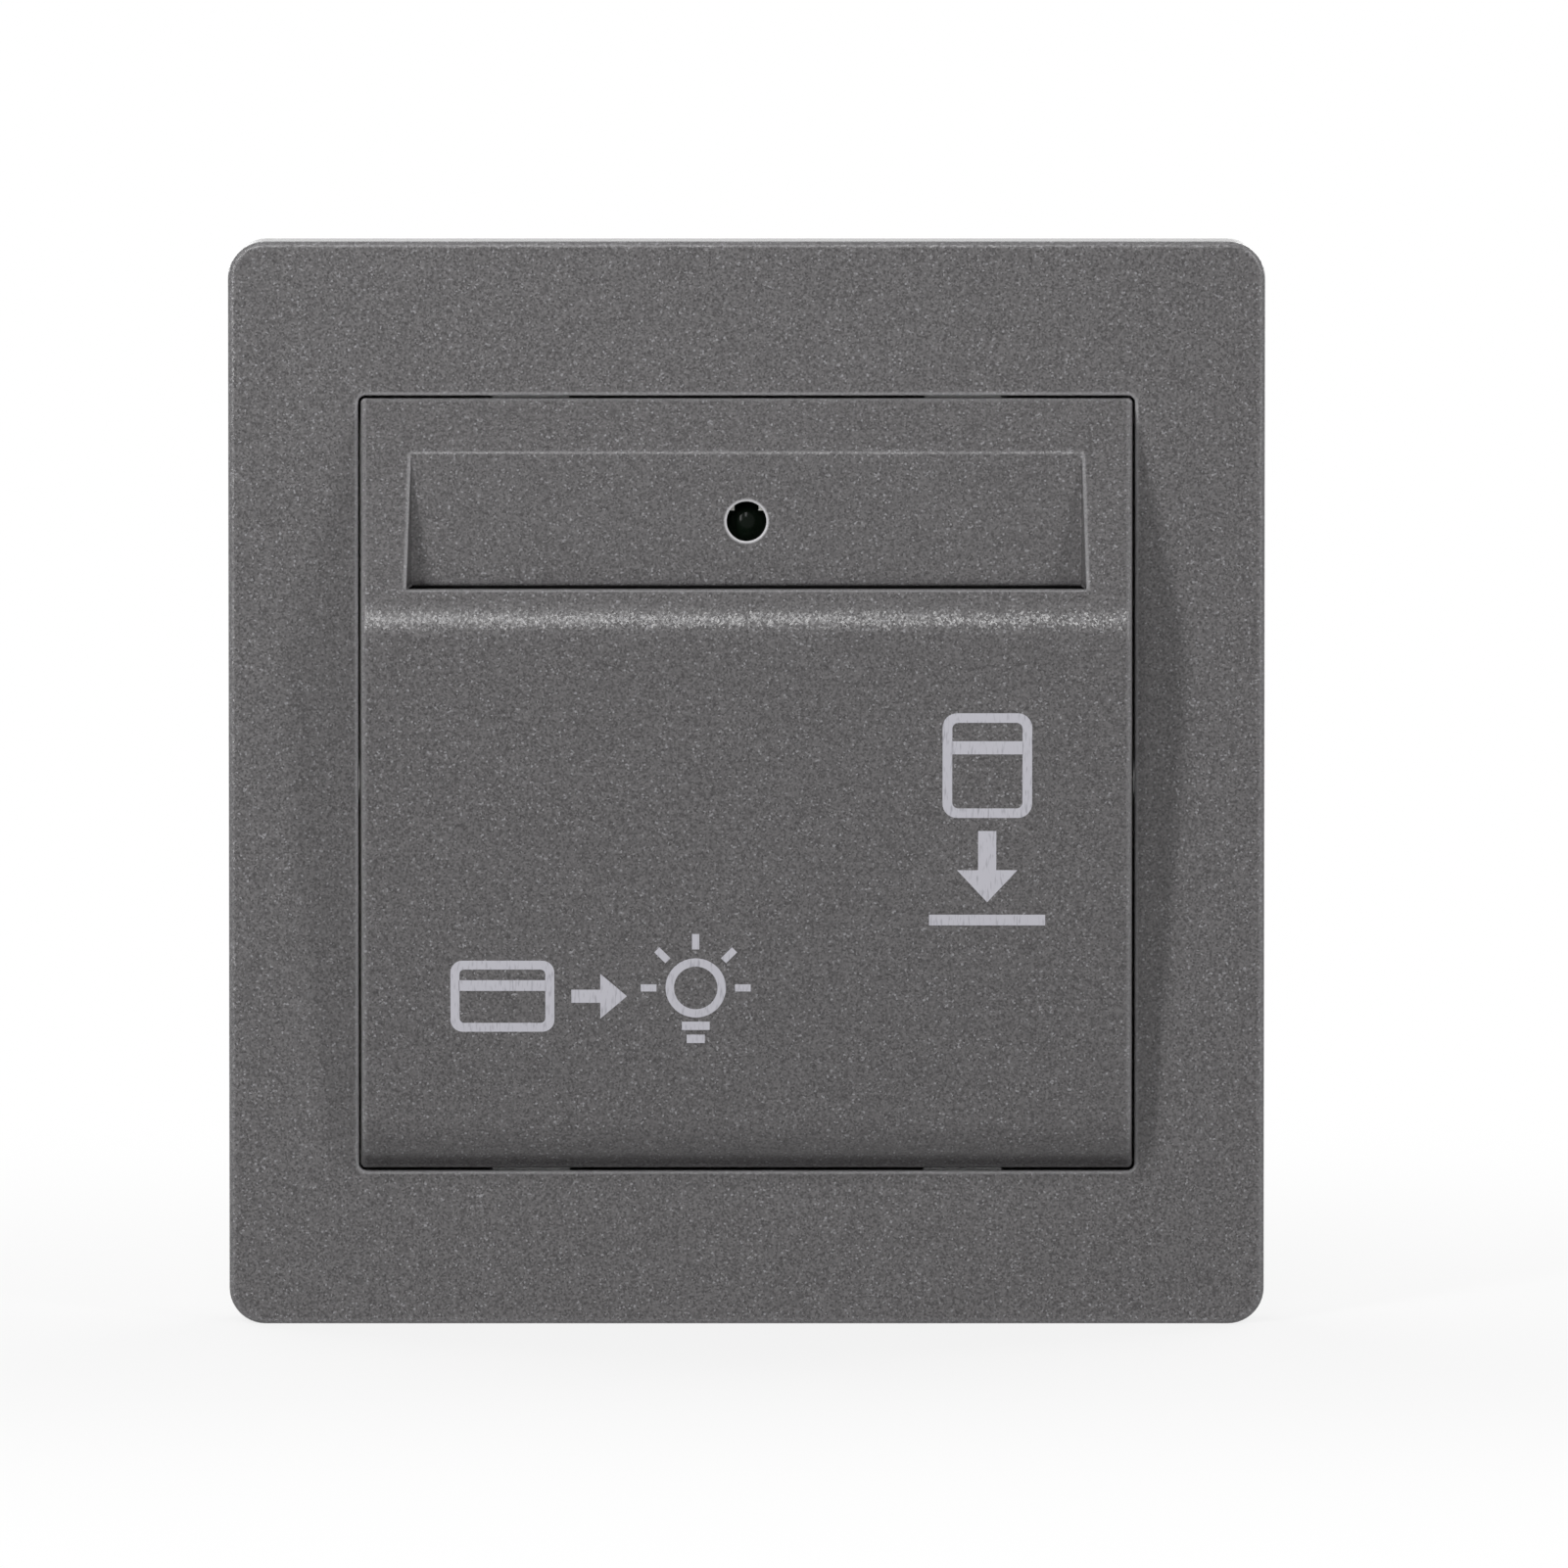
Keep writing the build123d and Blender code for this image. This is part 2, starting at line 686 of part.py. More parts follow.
def frame_hook(x, z):
    """A wedge-shaped catch that holds the housing behind the mounting frame's ledge."""
    up = 1 if z > 0 else -1
    ledge = frame_thickness - frame_ledge - screw_gap
    root = z - up * housing_wall / 2
    tip = z + up * frame_hook_reach
    heel = ledge - frame_hook_depth
    points = [(ledge, root), (ledge, tip), (heel, z), (heel, root)]
    return side_prism(points, x - frame_hook_width / 2, x + frame_hook_width / 2)


def cut_housing_openings(body):
    """Window for the terminals, driver holes under them and vents above."""
    window_width = pole_count * pole_pitch + 2 * fit_gap
    window_height = block_height + 2 * fit_gap
    window_mid_z = block_bottom_z + block_height / 2
    body -= square(window_width, window_height, -housing_depth - cut_overrun, housing_inner_out + cut_overrun,
                   0, window_mid_z)
    under_z = -housing_height / 2 - cut_overrun
    inner_z = cut_overrun - cavity_height / 2
    for x in pole_places():
        body -= post(driver_hole_radius, under_z, inner_z, x, clamp_out())
    vent_height = 2 * housing_wall + cut_overrun
    for index in range(vent_count):
        low = (index - (vent_count - 1) / 2) * vent_pitch - vent_mid_depth - vent_width / 2
        body -= square(vent_length, vent_height, low, low + vent_width, 0, housing_height / 2)
    return body


def make_inner_lid():
    """Insulating lid over the mains parts, with the lever's ears behind its window."""
    body = flange_plate(flange_out, lid_out)
    ear_root = flange_out + lid_thickness / 2
    inner = lever_width / 2 + slide_gap
    for x0 in (lever_x - inner - ear_wall, lever_x + inner):
        x1 = x0 + ear_wall
        body += span(x0, x1, pivot_out, ear_root, pivot_z - ear_radius, pivot_z + ear_radius)
        body += crossbar(ear_radius, x0, x1, pivot_out, pivot_z)
    low = flange_out - cut_overrun
    high = lid_out + cut_overrun
    window_top = pivot_z + hub_radius + cut_overrun
    window_bottom = pivot_z - nose_tip_drop - nose_height - 2 * cut_overrun
    body -= span(lever_x - inner, lever_x + inner, low, high, window_bottom, window_top)
    pin_reach = inner + ear_wall + cut_overrun
    body -= crossbar(pin_radius + screw_gap, lever_x - pin_reach, lever_x + pin_reach, pivot_out, pivot_z)
    body -= rod(led_radius + holder_bore_gap + holder_wall + fit_gap, low, high, 0, window_z)
    for x, z in lid_boss_places():
        body -= rod(lid_screw_radius + screw_hole_gap, low, high, x, z)
        body -= rod(lid_screw_head_radius + screw_hole_gap, lid_out - lid_screw_head_height, high, x, z)
    return body


def make_lid_screws():
    """Four screws that hold the lid to the housing."""
    screws = []
    for x, z in lid_boss_places():
        head = rod(lid_screw_head_radius, lid_out - lid_screw_head_height, lid_out, x, z)
        shank = rod(lid_screw_radius, flange_out - lid_screw_length + screw_gap, lid_out, x, z)
        screws.append(head + shank)
    return screws


def make_main_board():
    """Circuit board with cut corners for the bosses and holes for what goes through it."""
    width = cavity_width - 2 * board_edge_gap
    height = cavity_height - 2 * board_edge_gap
    body = square(width, height, board_back_out, board_front_out)
    low = board_back_out - cut_overrun
    high = board_front_out + cut_overrun
    corner_cut = 2 * (lid_boss_radius + board_edge_gap)
    for x, z in lid_boss_places():
        body -= square(corner_cut, corner_cut, low, high, x, z)
    for x, z in board_post_places():
        body -= rod(board_screw_radius + screw_hole_gap, low, high, x, z)
    pin_hole = terminal_pin_width + 2 * screw_gap
    for x in pole_places():
        body -= square(pin_hole, pin_hole, low, high, x, wire_z())
    switch_hole_width = switch_pin_width + 2 * screw_gap
    switch_hole_height = switch_pin_thickness + 2 * screw_gap
    for z in switch_pin_heights():
        body -= square(switch_hole_width, switch_hole_height, low, high, lever_x, z)
    for side in (-1, 1):
        body -= rod(led_lead_radius + screw_gap, low, high, side * led_lead_pitch / 2, window_z)
    return body


def make_board_screws():
    """Two screws that hold the board to its posts."""
    head_out = board_front_out + board_screw_head_height
    tip_out = board_back_out - board_screw_length + screw_gap
    screws = []
    for x, z in board_post_places():
        head = rod(board_screw_head_radius, board_front_out, head_out, x, z)
        screws.append(head + rod(board_screw_radius, tip_out, board_front_out, x, z))
    return screws


def make_card_lever():
    """Bell-crank lever: hub on the pin, rounded pad for the plunger, nose in the card pocket."""
    x0 = lever_x - lever_width / 2
    x1 = lever_x + lever_width / 2
    nose_out = pivot_out + nose_reach
    tip_z = pivot_z - nose_tip_drop
    points = [
        (pivot_out + arm_front, pivot_z),
        (pivot_out + arm_front, pivot_z - nose_top_drop + nose_height),
        (pivot_out + nose_root_reach, pivot_z - nose_top_drop),
        (nose_out, tip_z),
        (nose_out, tip_z - nose_height),
        (nose_out - nose_height, tip_z - nose_height),
        (pivot_out + nose_heel_reach, pivot_z - nose_heel_drop),
        (pivot_out - arm_back, pivot_z - arm_length),
        (pivot_out - arm_back, pivot_z),
    ]
    body = side_prism(points, x0, x1)
    body += crossbar(hub_radius, x0, x1, pivot_out, pivot_z)
    body += crossbar(bump_radius, x0, x1, pivot_out, pivot_z - plunger_arm)
    body -= crossbar(pin_radius + turn_gap, x0 - cut_overrun, x1 + cut_overrun, pivot_out, pivot_z)
    tip = body.edges().filter_by(Axis.X).sort_by_distance(Vector(lever_x, -nose_out, tip_z))[0]
    return fillet(tip, nose_height / 2)


def make_lever_pin():
    """Steel pin through the ears and the lever."""
    reach = lever_width / 2 + slide_gap + ear_wall
    return crossbar(pin_radius, lever_x - reach, lever_x + reach, pivot_out, pivot_z)


def make_lever_spring():
    """Compression spring between the board and the lever's arm."""
    low = board_front_out + spring_wire
    high = pivot_out - arm_back - spring_seat_gap - spring_wire
    start = (lever_x, -low, pivot_z - spring_drop)
    pitch = (high - low) / spring_turns
    path = Helix(pitch, high - low, spring_radius, center=start, direction=(0, -1, 0))
    wire = Plane(path @ 0, z_dir=path % 0) * Circle(spring_wire)
    return sweep(wire, path, is_frenet=True)


def plunger_tip_out():
    """Where the plunger's tip rests, just behind the lever's pad."""
    return pivot_out - bump_radius - plunger_rest_gap


def make_switch_plunger():
    """Plunger of the microswitch."""
    tip = plunger_tip_out()
    return square(plunger_width, plunger_height, tip - plunger_length, tip, lever_x, pivot_z - plunger_arm)


def make_microswitch_case():
    """Black microswitch case with the plunger's guide."""
    front = board_front_out + switch_depth
    middle_z = switch_top_z - switch_height / 2
    body = square(switch_width, switch_height, board_front_out, front, lever_x, middle_z)
    guide_end = plunger_tip_out() - plunger_length - plunger_travel - plunger_side_gap
    guide_width = plunger_width + 2 * plunger_side_gap
    guide_height = plunger_height + 2 * plunger_side_gap
    guide_z = pivot_z - plunger_arm
    return body - square(guide_width, guide_height, guide_end, front + cut_overrun, lever_x, guide_z)


def switch_pin_heights():
    """The heights of the microswitch's three pins."""
    middle = switch_top_z - switch_height / 2
    return [middle + step * switch_pin_pitch for step in (-1, 0, 1)]


def make_microswitch_terminals():
    """Three flat pins from the microswitch through the board."""
    low = board_back_out - switch_pin_tail
    return [square(switch_pin_width, switch_pin_thickness, low, board_front_out, lever_x, z)
            for z in switch_pin_heights()]


def holder_front_out():
    """The holder's front, in the counterbore just behind the window."""
    return recess_floor_out - window_wall - holder_window_gap


def led_front_out():
    """The lens's front, against the inside of the holder's face."""
    return holder_front_out() - holder_face_wall - screw_gap


def make_led_holder():
    """White spacer tube whose face shows at the window's upper corners round a dark cut-out."""
    front = holder_front_out()
    bore = led_radius + holder_bore_gap
    body = rod(bore + holder_wall, board_front_out, front, 0, window_z)
    body += rod(holder_foot_radius, board_front_out, board_front_out + holder_foot_height, 0, window_z)
    body -= rod(bore, board_front_out - cut_overrun, front - holder_face_wall, 0, window_z)
    seat = led_front_out() - led_height
    body -= rod(led_flange_radius + holder_bore_gap, board_front_out - cut_overrun, seat, 0, window_z)
    low = front - holder_face_wall - cut_overrun
    high = front + cut_overrun
    shoulder_z = window_z + mask_shoulder
    tab_half = mask_tab_width / 2
    mask = span(-mask_half_width, mask_half_width, low, high, window_z - mask_half_width, shoulder_z)
    mask += span(-tab_half, tab_half, low, high, window_z, window_z + bore)
    return body - (mask & rod(bore, low, high, 0, window_z))


def make_indicator_led():
    """Dark tinted lens with its flange."""
    front = led_front_out()
    back = front - led_height
    body = rod(led_radius, back, front, 0, window_z)
    body += rod(led_flange_radius, back - led_flange_height, back, 0, window_z)
    return body


def make_led_leads():
    """Two wire leads from the lens down through the board."""
    high = led_front_out() - led_height - led_flange_height
    low = board_back_out - switch_pin_tail
    return [rod(led_lead_radius, low, high, side * led_lead_pitch / 2, window_z) for side in (-1, 1)]


def make_terminal_block():
    """Four-pole terminal block with round wire entries and a chamber for each clamp."""
    half_width = pole_count * pole_pitch / 2
    rear = block_recess - housing_depth
    bottom = block_bottom_z
    body = span(-half_width, half_width, rear, board_back_out, bottom, block_top_z)
    chamber_rear = rear + wire_bore_length
    chamber_front = chamber_rear + chamber_depth
    screw_way = terminal_screw_head_radius + terminal_screw_gap
    pin_hole = terminal_pin_width + 2 * screw_gap
    z = wire_z()
    for x in pole_places():
        body -= rod(wire_bore_radius, rear - cut_overrun, chamber_rear + cut_overrun, x, z)
        body -= square(chamber_width, chamber_height, chamber_rear, chamber_front, x, z)
        body -= post(screw_way, bottom - cut_overrun, z, x, clamp_out())
        body -= square(pin_hole, pin_hole, chamber_front - cut_overrun, board_back_out + cut_overrun, x, z)
    return body


def make_wire_clamps():
    """One ring-shaped clamp in each chamber."""
    low = clamp_out() - clamp_depth / 2
    high = clamp_out() + clamp_depth / 2
    bottom = wire_z() - clamp_height / 2
    window_width = clamp_width - 2 * clamp_wall
    window_height = clamp_height - clamp_wall - clamp_floor
    window_z_mid = bottom + clamp_floor + window_height / 2
    clamps = []
    for x in pole_places():
        ring = square(clamp_width, clamp_height, low, high, x, wire_z())
        ring -= square(window_width, window_height, low - cut_overrun, high + cut_overrun, x, window_z_mid)
        ring -= post(terminal_screw_radius + screw_gap, bottom - cut_overrun, wire_z(), x, clamp_out())
        clamps.append(ring)
    return clamps


def make_terminal_screws():
    """One slotted screw for each clamp, driven from below."""
    screws = []
    middle = clamp_out()
    head_top = wire_z() - clamp_height / 2 - screw_gap
    head_bottom = head_top - terminal_screw_head_height
    tip = wire_z() - wire_bore_radius
    for x in pole_places():
        screw = post(terminal_screw_radius, head_top, tip, x, middle)
        screw += post(terminal_screw_head_radius, head_bottom, head_top, x, middle)
        slot = Box(terminal_slot_width, 2 * terminal_screw_head_radius, 2 * terminal_slot_depth)
        screws.append(screw - Pos(x, -middle, head_bottom) * slot)
    return screws


def make_terminal_pins():
    """One square pin from each clamp through the board."""
    low = clamp_out() + clamp_depth / 2
    high = board_front_out + terminal_pin_tail
    return [square(terminal_pin_width, terminal_pin_width, low, high, x, wire_z()) for x in pole_places()]


def board_box(x, z, width, height, depth, edge):
    """A moulded box on the back of the board with rounded edges."""
    body = square(width, height, board_back_out - depth, board_back_out, x, z)
    return fillet(body.faces().sort_by(Axis.Y)[-1].edges(), edge)


def make_power_relay():
    """Power relay."""
    return board_box(relay_x, relay_z, relay_width, relay_height, relay_depth, relay_edge)


def make_mains_capacitor():
    """Box capacitor that drops the mains voltage."""
    return board_box(mains_capacitor_x, mains_capacitor_z, mains_capacitor_width, mains_capacitor_height,
                     mains_capacitor_depth, mains_capacitor_edge)


def make_smoothing_capacitor():
    """Round electrolytic capacitor."""
    far = board_back_out - smoothing_depth
    body = rod(smoothing_radius, far, board_back_out, smoothing_x, smoothing_z)
    return fillet(body.faces().sort_by(Axis.Y)[-1].edges(), smoothing_edge)


def make_varistor():
    """Disc varistor standing on its two leads."""
    middle = board_back_out - varistor_lead - varistor_radius
    x0 = varistor_x - varistor_thickness / 2
    body = crossbar(varistor_radius, x0, x0 + varistor_thickness, middle, varistor_z)
    for side in (-1, 1):
        body += rod(varistor_lead_radius, middle, board_back_out, varistor_x,
                    varistor_z + side * varistor_lead_pitch / 2)
    return body


def make_bridge_rectifier():
    """Flat bridge rectifier."""
    far = board_back_out - bridge_depth
    return square(bridge_width, bridge_height, far, board_back_out, bridge_x, bridge_z)


def make_timer_chip():
    """Delay timer chip with its index notch."""
    far = board_back_out - chip_depth
    body = square(chip_width, chip_height, far, board_back_out, chip_x, chip_z)
    notch_x = chip_x - chip_width / 2
    return body - rod(chip_notch_radius, far - cut_overrun, far + chip_notch_depth, notch_x, chip_z)


def make_board_fuse():
    """Box-shaped board fuse."""
    return board_box(fuse_x, fuse_z, fuse_width, fuse_height, fuse_depth, fuse_edge)


def make_resistors():
    """Resistors lying on the board, each with thicker ends."""
    parts = []
    out = board_back_out - resistor_end_radius
    x0 = resistor_x - resistor_length / 2
    x1 = resistor_x + resistor_length / 2
    for index in range(resistor_count):
        z = resistor_z - index * resistor_pitch
        body = crossbar(resistor_radius, x0, x1, out, z)
        body += crossbar(resistor_end_radius, x0, x0 + resistor_end_length, out, z)
        body += crossbar(resistor_end_radius, x1 - resistor_end_length, x1, out, z)
        parts.append(body)
    return parts


makers = {
    "decor_frame": make_decor_frame,
    "card_cover": make_card_cover,
    "card_chute": make_card_chute,
    "chute_screws": make_chute_screws,
    "mounting_frame": make_mounting_frame,
    "rear_housing": make_rear_housing,
    "inner_lid": make_inner_lid,
    "lid_screws": make_lid_screws,
    "main_board": make_main_board,
    "board_screws": make_board_screws,
    "card_lever": make_card_lever,
    "lever_pin": make_lever_pin,
    "lever_spring": make_lever_spring,
    "switch_plunger": make_switch_plunger,
    "microswitch_case": make_microswitch_case,
    "microswitch_terminals": make_microswitch_terminals,
    "led_holder": make_led_holder,
    "indicator_led": make_indicator_led,
    "led_leads": make_led_leads,
    "terminal_block": make_terminal_block,
    "wire_clamps": make_wire_clamps,
    "terminal_screws": make_terminal_screws,
    "terminal_pins": make_terminal_pins,
    "power_relay": make_power_relay,
    "mains_capacitor": make_mains_capacitor,
    "smoothing_capacitor": make_smoothing_capacitor,
    "varistor": make_varistor,
    "bridge_rectifier": make_bridge_rectifier,
    "timer_chip": make_timer_chip,
    "board_fuse": make_board_fuse,
    "resistors": make_resistors,
}

os.makedirs("parts", exist_ok=True)
for node, make in makers.items():
    made = make()
    solids = [solid for piece in (made if isinstance(made, list) else [made]) for solid in piece.solids()]
    export_step(Compound(children=solids), f"parts/{node}.step")
    print(node, len(solids), "solids,", round(sum(solid.volume for solid in solids), 1), "mm3")
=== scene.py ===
"""Looks of a hotel key card switch: finishes, signs, screws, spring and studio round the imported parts."""
import logging
import math
from collections.abc import Sequence
from dataclasses import asdict, dataclass, field
from enum import Enum
from functools import partial

import bpy
from mathutils import Matrix, Vector
from mathutils.bvhtree import BVHTree


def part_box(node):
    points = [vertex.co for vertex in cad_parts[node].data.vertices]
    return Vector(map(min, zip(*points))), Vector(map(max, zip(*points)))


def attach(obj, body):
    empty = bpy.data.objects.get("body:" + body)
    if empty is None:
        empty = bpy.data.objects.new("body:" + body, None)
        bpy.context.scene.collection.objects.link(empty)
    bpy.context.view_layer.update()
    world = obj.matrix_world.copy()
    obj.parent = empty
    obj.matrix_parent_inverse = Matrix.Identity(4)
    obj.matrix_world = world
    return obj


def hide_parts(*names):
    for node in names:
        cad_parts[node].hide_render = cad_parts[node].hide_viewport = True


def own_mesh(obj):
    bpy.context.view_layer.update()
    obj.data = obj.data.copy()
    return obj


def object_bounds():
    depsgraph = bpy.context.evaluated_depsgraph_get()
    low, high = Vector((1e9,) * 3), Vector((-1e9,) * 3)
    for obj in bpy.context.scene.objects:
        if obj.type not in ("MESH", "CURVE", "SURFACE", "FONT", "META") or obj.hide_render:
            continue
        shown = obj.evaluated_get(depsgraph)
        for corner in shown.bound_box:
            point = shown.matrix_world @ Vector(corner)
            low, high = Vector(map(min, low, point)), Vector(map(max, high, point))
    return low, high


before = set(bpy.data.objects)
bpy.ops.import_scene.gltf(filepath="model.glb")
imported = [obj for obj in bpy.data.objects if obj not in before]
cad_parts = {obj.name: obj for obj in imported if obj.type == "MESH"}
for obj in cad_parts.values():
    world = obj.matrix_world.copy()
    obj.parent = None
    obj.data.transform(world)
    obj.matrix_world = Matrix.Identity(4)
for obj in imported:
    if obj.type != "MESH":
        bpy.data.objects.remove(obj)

LOG = logging.getLogger("key_card_switch")
CAD_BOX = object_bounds()

MM = 0.001  # one millimetre in metres
FULL_TURN = 2 * math.pi
WELD_DIGITS = 3  # vertices that agree to a micron are the same one
WAVE_RATE = 20  # radians of phase that the wave texture adds for each unit of its scaled place

# The sRGB standard's curve: a straight toe, then a power.
SRGB_TOE_END = 0.04045
SRGB_TOE_SLOPE = 12.92
SRGB_OFFSET = 0.055
SRGB_POWER = 2.4

Point = tuple[float, float]
Range = tuple[float, float]
Loop = list[Point]
Socket = bpy.types.NodeSocket


class Way(Enum):
    """Where a screw, spring or solder fillet points, as the turn that takes +Z there."""

    ROOM = (math.pi / 2, 0.0, 0.0)
    WALL = (-math.pi / 2, 0.0, 0.0)
    DOWN = (math.pi, 0.0, 0.0)


class Drive(Enum):
    """What the driver fits into: how many bars cross in the head, and their length in head radii."""

    SLOT = (1, 2.2)
    CROSS = (2, 1.15)


def linear(hex_code: str) -> tuple[float, float, float, float]:
    """Turn an sRGB colour into linear light.

    Args:
        hex_code: Six hexadecimal digits, two for each channel.

    Returns:
        Red, green, blue and an alpha of 1.
    """
    red, green, blue = (
        c / SRGB_TOE_SLOPE if c <= SRGB_TOE_END else ((c + SRGB_OFFSET) / (1 + SRGB_OFFSET)) ** SRGB_POWER
        for c in (int(hex_code[i:i + 2], 16) / 255 for i in (0, 2, 4)))
    return red, green, blue, 1.0


def add_node(tree: bpy.types.NodeTree, kind: str, inputs: dict | None = None,
             **settings: object) -> bpy.types.Node:
    """Add one node of any kind to a tree.

    Args:
        tree: The shader or geometry tree.
        kind: The node's class name.
        inputs: What each input gets, by its name or index: an output socket, a list of them or a constant.
        **settings: The node's own properties.

    Returns:
        The new node.
    """
    node = tree.nodes.new(kind)
    for name, setting in settings.items():
        setattr(node, name, setting)
    for key, source in (inputs or {}).items():
        for feed in source if isinstance(source, list) else [source]:
            if isinstance(feed, Socket):
                tree.links.new(feed, node.inputs[key])
            else:
                node.inputs[key].default_value = feed
    return node


@dataclass(frozen=True)
class Finish:
    """A material: its name, its colour and the shader's constant values."""

    name: str
    colour: str
    roughness: float
    metallic: float = 0.0
    ior: float = 1.5
    coat: float = 0.0
    coat_roughness: float = 0.3

    def material(self) -> bpy.types.Material:
        """Build the Blender material on its first use.

        Returns:
            The material, shared by all that have this finish.
        """
        found = bpy.data.materials.get(self.name)
        if found is not None:
            return found
        made = bpy.data.materials.new(self.name)
        made.use_nodes = True
        made.diffuse_color = linear(self.colour)
        tree = made.node_tree
        tree.nodes.clear()
        shader = add_node(tree, "ShaderNodeBsdfPrincipled", {
            "Base Color": linear(self.colour), "Roughness": self.roughness, "Metallic": self.metallic,
            "IOR": self.ior, "Coat Weight": self.coat, "Coat Roughness": self.coat_roughness})
        add_node(tree, "ShaderNodeOutputMaterial", {"Surface": shader.outputs["BSDF"]})
        place = add_node(tree, "ShaderNodeTexCoord").outputs["Object"]
        self.draw(tree, shader, place)
        return made

    def draw(self, tree: bpy.types.NodeTree, shader: bpy.types.Node, place: Socket) -> None:
        """Add the finish's own pattern.

        Args:
            tree: The material's node tree.
            shader: Its Principled BSDF.
            place: The object coordinates, in metres.
        """
        raise NotImplementedError


@dataclass(frozen=True)
class FlakeLacquer(Finish):
    """Graphite lacquer with silver flakes, sprayed on moulded ABS.

    To the eye it is a satin warm grey of dense fine speckles, each flake a little lighter or darker than its
    neighbours. It glitters where a lamp shines off a rounded edge. The sharp edges are painted paler: a
    painted highlight in the colour, standing in for the light that real rounded edges catch. Real flakes are
    near
    0.05 mm, too fine to show, so they are drawn coarser.
    """

    shade: str = "3B393A"
    lot_range: Range = (0.35, 1.65)
    flake: str = "959497"
    flake_mm: float = 0.15
    flake_share: float = 0.07
    flake_tilt: float = 0.16
    cloud_mm: float = 0.3
    cloud_roughness: float = 0.6
    peel_mm: float = 0.003
    edge_mm: float = 0.28
    # The painted edge highlight: its light colour, how far the AO looks and the AO range that fades it in.
    painted_edge_highlight: str = "D6D5D8"
    edge_highlight_reach_mm: float = 0.3
    edge_highlight_ao_range: Range = (0.97, 0.72)

    def draw(self, tree: bpy.types.NodeTree, shader: bpy.types.Node, place: Socket) -> None:
        """Give each flake its own shade and tilt, lighten a few, round the moulded edges and paint a
        highlight on them.

        Args:
            tree: The material's node tree.
            shader: Its Principled BSDF.
            place: The object coordinates, in metres.
        """
        add = partial(add_node, tree)
        cells = add("ShaderNodeTexVoronoi", {"Vector": place, "Scale": 1 / (self.flake_mm * MM)})
        clouds = add("ShaderNodeTexNoise", {
            "Vector": place, "Scale": 1 / (self.cloud_mm * MM), "Detail": 2.0,
            "Roughness": self.cloud_roughness})
        lot = add("ShaderNodeSeparateColor", {"Color": cells.outputs["Color"]})
        density = add("ShaderNodeMath", {0: lot.outputs["Green"], 1: clouds.outputs["Fac"]}, operation="ADD")
        share = add("ShaderNodeMapRange", {
            "Value": density.outputs["Value"], "From Min": self.lot_range[0], "From Max": self.lot_range[1]})
        ground = add("ShaderNodeMix", {
            "Factor": share.outputs["Result"], "A": linear(self.shade), "B": linear(self.colour)},
            data_type="RGBA")
        glint = add("ShaderNodeMapRange", {
            "Value": lot.outputs["Red"], "From Min": 1 - self.flake_share, "From Max": 1.0})
        speckled = add("ShaderNodeMix", {
            "Factor": glint.outputs["Result"], "A": ground.outputs["Result"], "B": linear(self.flake)},
            data_type="RGBA")
        # Painted highlight: where the AO finds a sharp edge, the base colour is paled towards a light grey.
        thin = add("ShaderNodeAmbientOcclusion", {"Distance": self.edge_highlight_reach_mm * MM}, inside=True,
                   only_local=True, samples=8)
        edge_highlight_share = add("ShaderNodeMapRange", {
            "Value": thin.outputs["AO"], "From Min": self.edge_highlight_ao_range[0], "From Max": self.edge_highlight_ao_range[1]})
        edge_highlighted = add("ShaderNodeMix", {
            "Factor": edge_highlight_share.outputs["Result"], "A": speckled.outputs["Result"], "B": linear(self.painted_edge_highlight)},
            data_type="RGBA")
        tree.links.new(edge_highlighted.outputs["Result"], shader.inputs["Base Color"])

        edge = add("ShaderNodeBevel", {"Radius": self.edge_mm * MM}, samples=6)
        lean = add("ShaderNodeVectorMath", {0: cells.outputs["Color"], 1: (-0.5, -0.5, -0.5)},
                   operation="ADD")
        small = add("ShaderNodeVectorMath", {0: lean.outputs["Vector"], "Scale": self.flake_tilt},
                    operation="SCALE")
        leaning = add("ShaderNodeVectorMath", {0: edge.outputs["Normal"], 1: small.outputs["Vector"]},
                      operation="ADD")
        unit = add("ShaderNodeVectorMath", {0: leaning.outputs["Vector"]}, operation="NORMALIZE")
        peel = add("ShaderNodeBump", {
            "Height": clouds.outputs["Fac"], "Normal": unit.outputs["Vector"], "Strength": 1.0,
            "Distance": self.peel_mm * MM})
        for name in ("Normal", "Coat Normal"):
            tree.links.new(peel.outputs["Normal"], shader.inputs[name])


@dataclass(frozen=True)
class MouldedPlastic(Finish):
    """Injection moulded plastic from a spark-eroded tool.

    To the eye it is an even satin with a very fine grain and faint clouding. The grain has the spacing and
    the few microns of depth of the tool's pits.
    """

    grain_mm: float = 0.18
    grain_depth_mm: float = 0.004
    cloud_mm: float = 9.0
    cloud_colour: str = ""
    gloss_range: Range = (-0.05, 0.07)

    def draw(self, tree: bpy.types.NodeTree, shader: bpy.types.Node, place: Socket) -> None:
        """Cloud the colour and roughness slowly and put the tool's grain on the surface.

        Args:
            tree: The material's node tree.
            shader: Its Principled BSDF.
            place: The object coordinates, in metres.
        """
        add = partial(add_node, tree)
        clouds = add("ShaderNodeTexNoise", {
            "Vector": place, "Scale": 1 / (self.cloud_mm * MM), "Detail": 3.0})
        tint = add("ShaderNodeMix", {
            "Factor": clouds.outputs["Fac"], "A": linear(self.colour),
            "B": linear(self.cloud_colour or self.colour)}, data_type="RGBA")
        tree.links.new(tint.outputs["Result"], shader.inputs["Base Color"])
        dull = add("ShaderNodeMapRange", {
            "Value": clouds.outputs["Fac"], "To Min": self.roughness + self.gloss_range[0],
            "To Max": self.roughness + self.gloss_range[1]})
        tree.links.new(dull.outputs["Result"], shader.inputs["Roughness"])
        grain = add("ShaderNodeTexNoise", {"Vector": place, "Scale": 1 / (self.grain_mm * MM), "Detail": 2.0})
        skin = add("ShaderNodeBump", {
            "Height": grain.outputs["Fac"], "Strength": 1.0, "Distance": self.grain_depth_mm * MM})
        tree.links.new(skin.outputs["Normal"], shader.inputs["Normal"])


